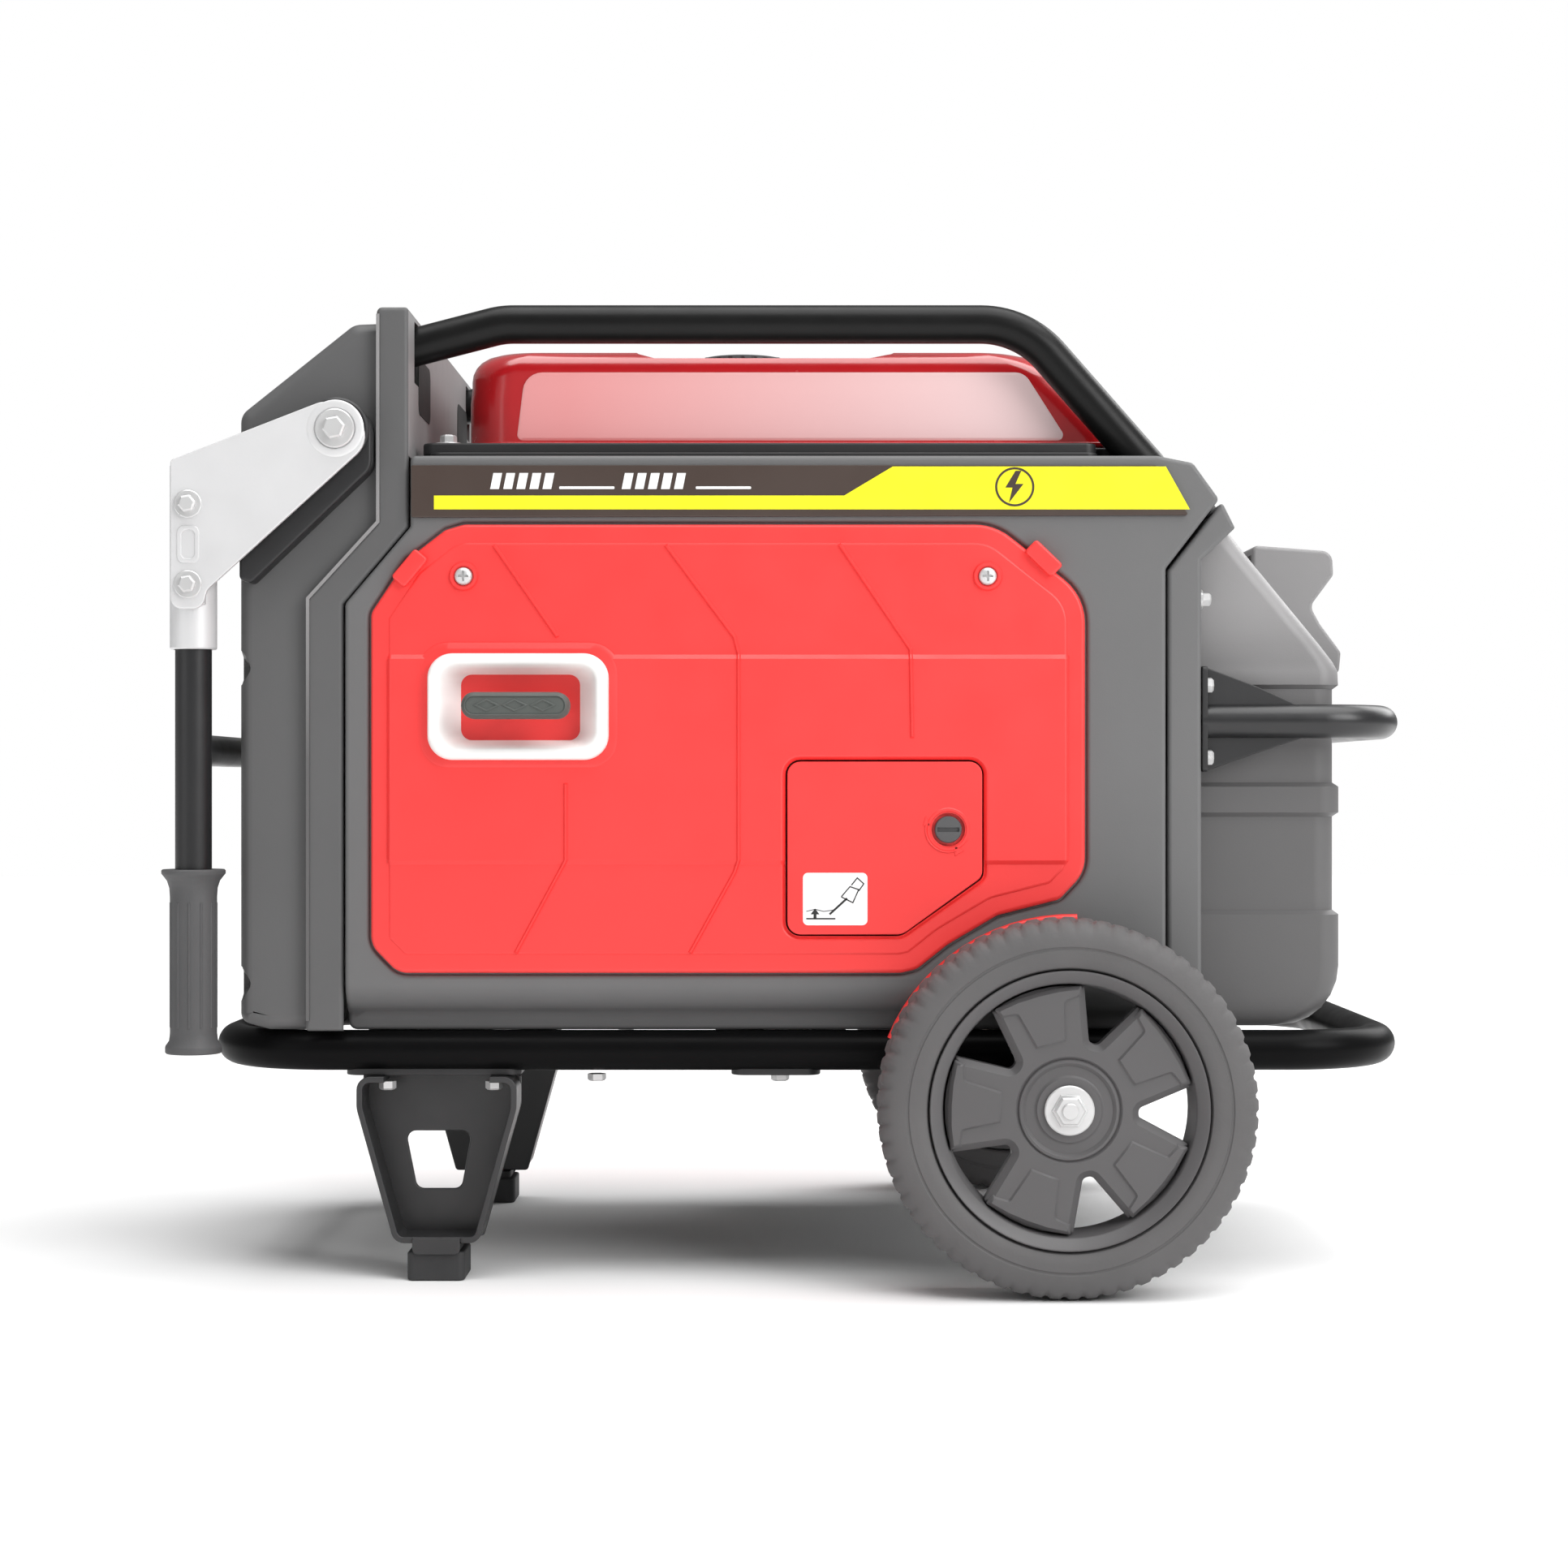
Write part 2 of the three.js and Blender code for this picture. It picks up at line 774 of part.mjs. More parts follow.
function frontHousing() {
  const half = front.halfWidth;
  const body = sideSlab(housingOutline(0), -half, half, 0);
  const hollow = sideSlab(housingOutline(front.wall), -half + front.wall, half - front.wall, 0);
  const recess = frontSlab(
    rect(-facia.half, facia.half, facia.bottom, facia.top),
    front.x - 1,
    front.x + facia.depth,
    14,
  );
  const backing = frontSlab(
    rect(-facia.half - 8, facia.half + 8, facia.bottom - 8, facia.top + 4),
    front.x + front.wall - 1,
    front.x + facia.depth + 3,
    18,
  );
  const notches = [-1, 1].flatMap((side) => [410, 193].map((z) => box(
    front.x - 1,
    front.x + 9,
    side > 0 ? half - 16 : -half - 1,
    side > 0 ? half + 1 : -half + 16,
    z,
    z + 16,
  )));
  const plan = planSlab(rect(front.x, -200, -half, half), 0, 700, 12);
  const rail = hoopTube(runGap);
  return cut(join(cut(body, hollow), backing), recess, ...notches, rail, mirrored(rail)).intersect(plan);
}

piece('front_housing', frontHousing(), 'greyPlastic');

// ---------- rear collar, cover and hood ----------

const collarLeft = shell.right + fitGap + seamGap;

function rearCollar() {
  const half = shell.y - 3;
  const [tipX, tipZ] = shell.tip;
  const left = collarLeft;
  const right = rear.collarRight;
  const outline = [
    [left, skinBottom], [right, skinBottom], [right, rear.stepZ], rear.shoulder,
    [tipX + 2.4, tipZ - 1.4], [left, shell.rearStepZ - 1],
  ];
  const ledgeX = right - 3;
  const shape = sideSlab(outline, -half, half, 0);
  const core = box(200, ledgeX, -half + 3, half - 3, skinBottom + 3, 700);
  const slope = outline.map(([x, z]) => [x - 3, z - 4]);
  const upper = sideSlab(slope, -half + 3, half - 3, 0);
  const open = rear.halfWidth - 2;
  const mouth = box(ledgeX - 1, 400, -open, open, skinBottom + 3, rear.stepZ);
  const floor = box(200, 400, -half + 24, half - 24, skinBottom - 1, skinBottom + 4);
  const deck = sideSlab(
    [
      [right - 24, shell.topZ], [tipX - 18, shell.topZ - 5], [tipX + 2.4, tipZ - 1.4],
      [rear.shoulder[0] - 0.6, rear.shoulder[1] + 1.2], [rear.shoulder[0] - 4, rear.shoulder[1]],
      [tipX - 2, tipZ - 4], [tipX - 20, shell.topZ - 8.4], [right - 24, shell.topZ - 3],
    ],
    -shell.y + shell.depth + fitGap,
    shell.y - shell.depth - fitGap,
    0,
  );
  const passages = [-1, 1].map((side) => box(
    200,
    hoop.footRear + hoop.tube / 2 + runGap,
    side * hoop.y - hoop.tube / 2 - runGap,
    side * hoop.y + hoop.tube / 2 + runGap,
    530,
    600,
  ));
  return cut(join(cut(shape, core, upper, mouth, floor), deck), ...passages);
}

piece('rear_collar', rearCollar(), 'palePlastic');

function backLine(x) {
  const [sx, sz] = rear.shoulder;
  return sz + ((rear.kneeZ - sz) * (x - sx)) / (rear.x - sx);
}

function rearOutline(inset) {
  const l = rear.collarRight + fitGap - (inset > 0 ? 5 : 0);
  const x = rear.x - inset;
  const [sx, sz] = rear.shoulder;
  return [
    [l, skinBottom + inset, 0], [322, skinBottom + inset, 20], [x, 232, 40],
    [x, rear.kneeZ - inset * 0.5, 3], [sx + 1 - inset, sz - 1 - inset * 0.6, 0],
    [l, rear.stepZ - 1 - inset, 0],
  ];
}

function rearCover() {
  const half = rear.halfWidth;
  const plan = planSlab(rect(200, rear.x, -half, half), 0, 700, 16);
  const body = sideSlab(rearOutline(0), -half, half, 0).intersect(plan);
  const hollow = sideSlab(rearOutline(3), -half + 3, half - 3, 0)
    .intersect(planSlab(rect(200, rear.x - 3, -half + 3, half - 3), 0, 700, 14));
  const vents = [];
  for (let i = 0; i < 5; i += 1) {
    vents.push(box(rear.x - 10, rear.x + 2, -120, 120, 262 + i * 11, 268 + i * 11));
  }
  const exhaust = rod('x', 27, 300, 420, [0, rear.exhaustZ], 24);
  return cut(body, hollow, ...vents, exhaust);
}

piece('rear_cover', rearCover(), 'palePlastic');

// spout over the exhaust, lying on the slanted back
function exhaustHood() {
  const outline = [
    [341, 520, 2], [400, 515.5, 8], [401, 498, 6], [384, 473, 8], [392, 463, 8], [407, 441, 4],
    [405, rear.kneeZ + 2, 2], [rear.x - 8, rear.kneeZ + 2], [341, 470],
  ];
  const under = [
    [300, backLine(300) + fitGap * 1.7], [rear.x + 1, backLine(rear.x + 1) + fitGap * 1.7],
    [rear.x + 1, 300], [300, 300],
  ];
  const body = cut(sideSlab(outline, -70, 70, 0), sideSlab(under, -80, 80, 0));
  const inner = sideSlab(
    [[300, 514], [394, 510], [394, 499], [374, 470], [374, 400], [300, 400]],
    -64,
    64,
    0,
  );
  const mouth = box(380, 420, -52, 52, 484, 508);
  return cut(body, inner, mouth);
}

piece('exhaust_hood', exhaustHood(), 'palePlastic');

// ---------- rear bumper ----------

function rearBumper() {
  const { y, z, end, corner } = bumper;
  const x0 = rear.collarRight + fitGap;
  const bar = sweptTube(
    [v(x0 + 1, -y, z), v(end, -y, z), v(end, y, z), v(x0 + 1, y, z)],
    [0, corner, corner, 0],
    bumper.tube / 2,
  );
  const wings = [-1, 1].flatMap((side) => {
    const near = side * y - 11.5;
    const flange = box(x0, x0 + 4, near, near + 23, z - 35, z + 38);
    const gusset = sideSlab(
      [
        [x0 + 3, z - 35], [x0 + 40, z - 22, 10], [x0 + 72, z - 8],
        [x0 + 72, z + 8], [x0 + 40, z + 24, 10], [x0 + 3, z + 38],
      ],
      side * y - 2,
      side * y + 2,
      0,
    );
    return [flange, gusset];
  });
  return join(bar, ...wings);
}

piece('rear_bumper', rearBumper(), 'blackPaint');

// ---------- tank, tray and cap ----------

const trayBottom = shell.topZ + fitGap;

function tankTray() {
  const w = tray.halfWidth;
  const upper = planSlab(rect(tray.left, tray.right, -w, w), 573.5, tray.topZ, 14);
  const lower = planSlab(rect(tray.left + 6, tray.right - 8, -w - 8, w + 8), trayBottom, 574, 14);
  const notches = [-1, 1].map((side) => box(
    hoop.footRear - 48,
    hoop.footRear + 10,
    side > 0 ? hoop.y - hoop.tube / 2 - runGap : -w - 20,
    side > 0 ? w + 20 : -hoop.y + hoop.tube / 2 + runGap,
    trayBottom - 5,
    tray.topZ + 5,
  ));
  return cut(join(upper, lower), ...notches);
}

function tankSolid() {
  const b = tray.topZ + fitGap;
  const w = tank.halfWidth;
  const bodyOutline = [
    [tank.left, b, 4], [tank.right, b, 4], [tank.right, b + 8, 8],
    [tank.right - tank.lean, tank.topZ + tank.endRise, 16], [90, tank.topZ + tank.endRise, 12],
    [70, tank.topZ, 12], [-104, tank.topZ, 12], [-124, tank.topZ + tank.endRise, 12],
    [tank.left + 16, tank.topZ + tank.endRise, 10], [tank.left + 2, tank.topZ - 12, 8],
  ];
  const long = sideSlab(bodyOutline, -w, w, 0);
  const across = frontSlab(
    [
      [-w, b], [w, b], [w, tank.topZ - 22, 16],
      [w - 14, tank.topZ + 7, 12], [-w + 14, tank.topZ + 7, 12], [-w, tank.topZ - 22, 16],
    ],
    tank.left - 1,
    tank.right + 1,
    2,
  );
  const seam = planSlab(rect(tank.left - 4, tank.right + 4, -w - 4, w + 4), b + 1, b + 4, 10);
  const neck = rod('z', 29, tank.topZ - 8, tank.topZ + 5, [tank.capX, 0], 24);
  return join(long.intersect(across), seam, neck);
}

function fuelCap() {
  const base0 = tank.topZ + 5 + fitGap;
  const profile = [
    [0, base0], [36, base0], [37, base0 + 2], [37, base0 + 9], [34, base0 + 13], [0, base0 + 14],
  ];
  const body = turned('z', profile, [tank.capX, 0], 24);
  const flutes = [];
  for (let i = 0; i < 12; i += 1) {
    const [x, y] = polar(39, i * 30, tank.capX, 0);
    flutes.push(rod('z', 4, base0 + 3, base0 + 30, [x, y], 10));
  }
  return cut(body, ...flutes);
}

piece('tank_tray', tankTray(), 'blackSteel');
piece('fuel_tank', tankSolid(), 'redPaint');
piece('fuel_cap', fuelCap(), 'darkPlastic');

// ---------- folding handle ----------

const sleeveFace = handle.y + handle.sleeve / 2;

function handlePlate() {
  const inner = -sleeveFace;
  const outer = inner - handle.plateThick;
  const outline = [
    [-424, 564.5, 3], [-318.7, 605.4, 16], [-296, 598, 14], [-290, 578, 16], [-399, 475.8, 8],
    [-404, 464, 8], [-424, 464, 8],
  ];
  const plate = sideSlab(outline, outer, inner, 0);
  const pivot = [handle.pivotX, handle.pivotZ];
  const arm = [handle.x, -handle.y];
  const low = handle.sleeveBottom;
  const high = handle.sleeveTop;
  const bore = rod('y', handle.boltRadius + fitGap, outer - 1, inner + 1, pivot);
  const sleeve = rod('z', handle.sleeve / 2, low, high, arm, 24);
  const land = box(handle.x - 12, handle.x + 12, inner - 1, inner + 8, low + 30, high - 1);
  const inside = rod('z', handle.tube / 2 + fitGap, low - 36, high - 3, arm, 24);
  return cut(join(plate, sleeve, land), bore, inside);
}

function handleFrame() {
  const low = handle.gripBottom + 4 + fitGap;
  const high = handle.sleeveTop - 3 - fitGap;
  const arms = [-1, 1].map((side) => rod(
    'z', handle.tube / 2, low, high, [handle.x, side * handle.y], 32,
  ));
  const bar = rod('y', handle.crossTube / 2, -handle.y, handle.y, [handle.x, handle.crossZ], 24);
  return join(arms[0], arms[1], bar);
}

function gripSolid() {
  const bore = handle.tube / 2 + fitGap;
  const t = handle.gripTop;
  const b = handle.gripBottom;
  const profile = [
    [bore, t], [21.8, t], [21.8, t - 3], [16, t - 12], [16, b + 8], [19.3, b + 4], [19.3, b], [0, b],
    [0, b + 4], [bore, b + 4], [bore, t],
  ];
  return turned('z', profile, [handle.x, -handle.y], 24);
}

function pivotBracket() {
  const back = -front.halfWidth - fitGap;
  const outline = [
    [-288, 572, 14], [-288, 606, 20], [-330, 600, 10], [-380, 574, 4], [-380, 484, 4], [-373, 480, 4],
  ];
  const plate = sideSlab(outline, -front.halfWidth - 20, back, 0);
  const boss = rod('y', 20, -sleeveFace + fitGap, back - 4, [handle.pivotX, handle.pivotZ]);
  const bore = rod('y', handle.boltRadius + fitGap, -260, -100, [handle.pivotX, handle.pivotZ]);
  return cut(join(plate, boss), bore);
}

function pivotBolt() {
  const outer = -sleeveFace - handle.plateThick - fitGap;
  const profile = [
    [0, -front.halfWidth - 1], [handle.boltRadius, -front.halfWidth - 1],
    [handle.boltRadius, outer], [13, outer], [13, outer - 2.6],
    [8, outer - 2.6], [7.4, outer - 8], [0, outer - 8.6],
  ];
  return turned('y', profile, [handle.pivotX, handle.pivotZ], 20);
}

pair('handle_plate', handlePlate(), 'silverPaint');
piece('handle_frame', handleFrame(), 'blackPaint');
pair('grip', gripSolid(), 'rubber');
pair('pivot_bracket', pivotBracket(), 'blackSteel');
pair('pivot_bolt', pivotBolt(), 'zinc');

// ---------- recoil starter ----------

const bulgeFace = panelFace + panel.bulge;
const bezelBack = bulgeFace + fitGap;

function starterBezel() {
  const wide = rect(-62, 62, -36.5, 36.5);
  const shape = wide.map(([x, z]) => [x + starter.x, z + starter.z - 1]);
  const small = rect(-50, 50, -29, 29).map(([x, z]) => [x + starter.x, z + starter.z - 1]);
  const hole = rect(-34, 38, -22, 19).map(([x, z]) => [x + starter.x, z + starter.z - 1]);
  const foot = sideSlab(shape, -bezelBack - 4, -bezelBack, 14);
  const top = sideSlab(small, -bezelBack - 9, -bezelBack - 3, 12);
  return cut(join(foot, top), sideSlab(hole, -300, -200, 5));
}

const gripInner = bezelBack + 9 + fitGap;

function starterGrip() {
  const outline = rect(starter.x - 37, starter.x + 37, starter.z - 9.5, starter.z + 9);
  const bar = sideSlab(outline, -gripInner - 20, -gripInner, 7);
  const stem = rod('y', 8, -gripInner - 1, -panelFace - 4, [starter.x, starter.z], 20);
  const socket = rod('y', starter.rope / 2 + fitGap, -gripInner - 8, -200, [starter.x, starter.z], 16);
  return cut(join(bar, stem), socket);
}

function starterRope() {
  return rod('y', starter.rope / 2, -gripInner - 8 + fitGap, -2, [starter.x, starter.z], 16);
}

function recoilPulley() {
  const r = starter.pulleyRadius - starter.rope / 2 - fitGap;
  const profile = [
    [9, -9], [r + 1, -9], [r + 1, -6], [r - 3, -4], [r - 3, 4], [r + 1, 6], [r + 1, 9], [9, 9], [9, -9],
  ];
  return turned('x', profile.map(([a, d]) => [a, d + starter.x]), [0, crank.z], 24);
}

piece('starter_bezel', starterBezel(), 'whitePlastic');
piece('starter_grip', starterGrip(), 'rubber');
piece('starter_rope', starterRope(), 'cord');
piece('recoil_pulley', recoilPulley(), 'darkPlastic');

// ---------- maintenance door ----------

const doorBack = panelBack + 2.4 + fitGap;
const knob = { x: 107.5, z: 312, radius: 9.5 };

function doorSolid() {
  const plate = sideSlab(doorOutline(0), -bulgeFace, -doorBack, 0);
  const well = rod('y', knob.radius + 4, -300, -bulgeFace + 3.4, [knob.x, knob.z], 20);
  const bore = rod('y', 4 + fitGap, -300, -200, [knob.x, knob.z], 16);
  return cut(plate, well, bore);
}

function knobSolid() {
  const face = -bulgeFace + 3.4 - fitGap;
  const head = rod('y', knob.radius, face - 5, face, [knob.x, knob.z], 20);
  const stem = rod('y', 4, face - 1, -doorBack + 1, [knob.x, knob.z], 16);
  const slot = box(knob.x - 7, knob.x + 7, face - 6, face - 3, knob.z - 1.5, knob.z + 1.5);
  return cut(join(head, stem), slot);
}

piece('maintenance_door', doorSolid(), 'redPlastic');
piece('door_knob', knobSolid(), 'darkPlastic');

// ---------- control panel on the front face ----------

const faciaBack = front.x + facia.depth;
const faciaFace = faciaBack - 4;

function controlPanel() {
  const plate = frontSlab(
    rect(-facia.half + 1, facia.half - 1, facia.bottom + 1, facia.top - 1),
    faciaFace,
    faciaBack - fitGap,
    13,
  );
  const dialBore = rod('x', 5 + fitGap, front.x - 20, front.x + 20, [-95, 520], 20);
  const rockerHole = frontSlab(rect(-25.8, 25.8, 509.4, 530.6), front.x - 20, front.x + 20, 0);
  const buttonBore = rod('x', 6 + fitGap, front.x - 20, front.x + 20, [100, 520], 20);
  return cut(plate, dialBore, rockerHole, buttonBore);
}

function outletBlock() {
  const x1 = faciaFace - fitGap;
  const plate = frontSlab(rect(-135, 40, 246, 336), x1 - 4, x1, 8);
  const rings = [-100, -35].map((y) => rod('x', 26, x1 - 10, x1 - 3, [y, 291], 20));
  const duplex = frontSlab(rect(8, 34, 262, 320), x1 - 9, x1 - 3, 6);
  const wells = [-100, -35].map((y) => rod('x', 21, x1 - 11, x1 - 5, [y, 291], 20));
  return cut(join(plate, ...rings, duplex), ...wells);
}

function outletCover() {
  const x1 = faciaFace - fitGap;
  const flap = frontSlab(rect(56, 128, 250, 322), x1 - 6, x1 - 1, 10);
  const roll = rod('y', 4, 56, 128, [x1 - 4.2, 322], 16);
  return join(flap, roll);
}

function displaySolid() {
  const x1 = faciaFace - fitGap;
  const frame = frontSlab(rect(-50, 50, 400, 470), x1 - 5, x1, 8);
  const glass = frontSlab(rect(-42, 42, 408, 462), x1 - 7, x1 - 3.4, 4);
  return cut(frame, glass);
}

function dialSolid() {
  const x1 = faciaFace - fitGap;
  const head = rod('x', 20, x1 - 9, x1, [-95, 520], 24);
  const bar = box(x1 - 13, x1 - 8, -98.5, -91.5, 502, 538);
  const stem = rod('x', 5, x1 - 1, faciaBack - 1, [-95, 520], 20);
  return join(head, bar, stem);
}

const rockerPivot = faciaFace + 2;

function rockerSolid() {
  const f = faciaFace;
  const outline = [[f + 1.5, 510.6], [f - 4, 511.6], [f - 2, 520], [f - 4, 528.4], [f + 1.5, 529.4]];
  return sideSlab(outline, -25, 25, 0);
}

function buttonSolid() {
  return rod('x', 6, faciaFace - 7, faciaBack - 4, [100, 520], 20);
}

piece('control_panel', controlPanel(), 'darkPlastic');
piece('outlet_block', outletBlock(), 'darkPlastic');
piece('outlet_cover', outletCover(), 'rubber');
piece('status_display', displaySolid(), 'darkPlastic');
piece('start_dial', dialSolid(), 'redPlastic');
piece('eco_rocker', rockerSolid(), 'darkPlastic');
piece('breaker_button', buttonSolid(), 'redPlastic');

// ---------- engine and generator inside ----------

const floorZ = plateTop + fitGap;
const caseX0 = -40;
const caseX1 = 110;

function engineBlock() {
  const body = frontSlab(
    [[-78, 236, 20], [78, 236, 20], [96, 342, 40], [70, 420, 20], [-70, 420, 20], [-96, 342, 40]],
    caseX0,
    caseX1,
    10,
  );
  const sump = box(caseX0 + 14, caseX1 - 14, -60, 60, 205, 240);
  const feet = box(caseX0 + 20, caseX0 + 55, -70, 70, floorZ, 210);
  const cylinder = box(0, 76, -38, 38, 418, 500);
  const fins = [];
  for (let i = 0; i < 6; i += 1) {
    fins.push(box(-14, 90, -52, 52, 428 + i * 12, 432 + i * 12));
  }
  const bore = rod('x', crank.shaft / 2 + runGap, caseX0 - 1, caseX1 - 20, [0, crank.z], 20);
  const oilNeck = rod('y', 13, -120, -80, [86, 292], 24);
  const oilBore = rod('y', 8, -121, -100, [86, 292], 20);
  return cut(join(body, sump, feet, cylinder, ...fins, oilNeck), bore, oilBore);
}

function cylinderHead() {
  const z = 500 + fitGap;
  const body = box(-10, 86, -50, 50, z, z + 38);
  const cover = planSlab(rect(2, 74, -38, 38), z + 37, 560, 12);
  const port = box(80, 112, -18, 18, z + 8, z + 30);
  return join(body, cover, port);
}

function statorSolid() {
  const x1 = caseX0 - fitGap;
  const profile = [[66, x1 - 74], [104, x1 - 74], [104, x1], [66, x1], [66, x1 - 74]];
  const ring = turned('x', profile, [0, crank.z], 40);
  const spider = [0, 90].map((a) => {
    const bar = box(x1 - 6, x1, -70, 70, crank.z - 8, crank.z + 8);
    return bar.translate([0, 0, -crank.z]).rotate([a, 0, 0]).translate([0, 0, crank.z]);
  });
  const bore = rod('x', crank.shaft / 2 + 6, x1 - 100, x1 + 10, [0, crank.z], 20);
  return cut(join(ring, ...spider), bore);
}

function rotorSolid() {
  const shaft = rod('x', crank.shaft / 2, starter.x + 9 + fitGap + 1, caseX1 - 22, [0, crank.z], 20);
  const drum = rod('x', 60, caseX0 - 66, caseX0 - 14, [0, crank.z], 24);
  const hub = rod('x', 30, starter.x + 10 + fitGap + 1, caseX0 - 60, [0, crank.z], 20);
  const disc0 = rod('x', 88, starter.x + 26, starter.x + 32, [0, crank.z], 40);
  const blades = [];
  for (let i = 0; i < 12; i += 1) {
    const blade = box(starter.x + 13, starter.x + 28, -3, 3, 40, 84);
    blades.push(blade.rotate([i * 30, 0, 0]).translate([0, 0, crank.z]));
  }
  return join(shaft, drum, hub, disc0, ...blades);
}

function recoilPost() {
  return rod('x', 9 - fitGap, -217, starter.x + 9, [0, crank.z], 24);
}

function inverterModule() {
  const body = box(-240, -215, -120, 120, floorZ, 400);
  const base0 = box(-268, -214, -130, 130, floorZ, 178);
  const fins = [];
  for (let i = 0; i < 9; i += 1) {
    const y = -110 + i * 27;
    fins.push(box(-262, -238, y - 2, y + 2, 176, 396));
  }
  return join(body, base0, ...fins, recoilPost());
}

function muffler() {
  const drum = frontSlab(
    [[-70, 430, 30], [70, 430, 30], [70, 545, 30], [-70, 545, 30]],
    130,
    252,
    20,
    6,
  );
  const inlet = rod('x', 14, 112 + fitGap, 132, [0, 521], 24);
  const outlet = rod('x', 16, 250, 368, [0, rear.exhaustZ], 24);
  const bore = rod('x', 12, 262, 380, [0, rear.exhaustZ], 24);
  const legs = box(150, 164, 20, 60, floorZ, 440);
  return cut(join(drum, inlet, outlet, legs), bore);
}

function airCleaner() {
  const body = planSlab(rect(-20, 96, 96, 176), 430, 530, 14);
  const duct = rod('y', 16, 50 + fitGap, 100, [40, 515], 24);
  return join(body, duct);
}

function batterySolid() {
  const body = box(-60, 44, 102, 174, floorZ, floorZ + 96);
  const lid = box(-58, 42, 104, 172, floorZ + 95, floorZ + 106);
  const posts = [-44, 28].map((x) => rod('z', 6, floorZ + 105, floorZ + 114, [x, 138], 16));
  return join(body, lid, ...posts);
}

function oilCap() {
  const head = rod('y', 16, -132, -120 - fitGap, [86, 292], 24);
  const stem = rod('y', 8 - fitGap, -121, -100 - fitGap, [86, 292], 20);
  const wing = box(83, 89, -142, -131, 279, 305);
  return join(head, stem, wing);
}

piece('engine_block', engineBlock(), 'castAlloy');
piece('cylinder_head', cylinderHead(), 'castAlloy');
piece('stator', statorSolid(), 'copper');
piece('rotor', rotorSolid(), 'castAlloy');
piece('inverter_module', inverterModule(), 'castAlloy');
piece('muffler', muffler(), 'zinc');
piece('air_cleaner', airCleaner(), 'darkPlastic');
piece('battery', batterySolid(), 'darkPlastic');
piece('oil_cap', oilCap(), 'yellowPlastic');

export default generator;
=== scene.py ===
import math

import bmesh
import bpy
from mathutils import Matrix, Vector, geometry


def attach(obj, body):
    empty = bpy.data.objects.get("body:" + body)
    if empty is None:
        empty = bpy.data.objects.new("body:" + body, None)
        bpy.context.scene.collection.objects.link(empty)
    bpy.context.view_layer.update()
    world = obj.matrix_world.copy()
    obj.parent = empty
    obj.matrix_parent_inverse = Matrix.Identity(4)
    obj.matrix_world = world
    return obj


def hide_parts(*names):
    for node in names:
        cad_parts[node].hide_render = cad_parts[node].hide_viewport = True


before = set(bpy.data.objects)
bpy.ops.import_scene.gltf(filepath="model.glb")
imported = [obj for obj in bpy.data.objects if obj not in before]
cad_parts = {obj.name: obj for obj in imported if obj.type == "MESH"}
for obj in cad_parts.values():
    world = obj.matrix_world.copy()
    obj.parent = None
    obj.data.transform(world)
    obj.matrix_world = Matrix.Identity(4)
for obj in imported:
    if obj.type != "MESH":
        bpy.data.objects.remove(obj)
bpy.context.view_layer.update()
print("frame loaded, pieces:", len(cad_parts))

# All sizes below are millimetres in the frame's own axes:
# +x to the wheel end, -y to the starter side, +z up.


# mesh tools

def placed(name, data):
    item = bpy.data.objects.new(name, data)
    bpy.context.scene.collection.objects.link(item)
    return item


def evenShading(piece):
    # smooth across small bends, crisp along marked edges
    keep = piece.modifiers.new("even shading", "WEIGHTED_NORMAL")
    keep.keep_sharp = True
    return piece


def bandFaces(a, b, n):
    # quads between two rings of n points that start at a and at b
    return [(a + i, a + (i + 1) % n, b + (i + 1) % n, b + i) for i in range(n)]


def onCircle(centre, r, degrees):
    a = math.radians(degrees)
    return (centre[0] + r * math.cos(a), centre[1] + r * math.sin(a))


def makePiece(name, points, faces, sharpAngle=38):
    mesh = bpy.data.meshes.new(name)
    mesh.from_pydata([(x / 1000, y / 1000, z / 1000) for x, y, z in points], [], faces)
    work = bmesh.new()
    work.from_mesh(mesh)
    bmesh.ops.remove_doubles(work, verts=work.verts, dist=0.00001)
    bmesh.ops.recalc_face_normals(work, faces=work.faces)
    if work.calc_volume(signed=True) < 0:
        bmesh.ops.reverse_faces(work, faces=work.faces)
    limit = math.radians(sharpAngle)
    for edge in work.edges:
        if len(edge.link_faces) == 2:
            edge.smooth = edge.calc_face_angle(0) < limit
    for face in work.faces:
        face.smooth = True
    work.to_mesh(mesh)
    work.free()
    return evenShading(placed(name, mesh))


def toSpace(plane, u, v, d):
    if plane == "side":
        return (u, d, v)
    if plane == "front":
        return (d, u, v)
    return (u, v, d)


def area(points):
    total = 0
    for i, (x, y) in enumerate(points):
        nx, ny = points[(i + 1) % len(points)]
        total += x * ny - nx * y
    return total / 2


def cornerArc(before, here, after, r, steps):
    # the arc that rounds a corner, or the corner itself where it has no radius or no bend
    back, on = before - here, after - here
    if r < 0.05 or back.length < 0.01 or on.length < 0.01:
        return [tuple(here)]
    room = min(back.length, on.length) * 0.49
    back, on = back.normalized(), on.normalized()
    half = back.angle(on) / 2
    if half > 1.55 or half < 0.02:
        return [tuple(here)]
    reach = min(r / math.tan(half), room)
    r = reach * math.tan(half)
    centre = here + (back + on).normalized() * (r / math.sin(half))
    start, end = here + back * reach - centre, here + on * reach - centre
    a0, a1 = math.atan2(start.y, start.x), math.atan2(end.y, end.x)
    turn = (a1 - a0 + math.pi) % (2 * math.pi) - math.pi
    return [(centre.x + r * math.cos(a0 + turn * k / steps),
             centre.y + r * math.sin(a0 + turn * k / steps)) for k in range(steps + 1)]


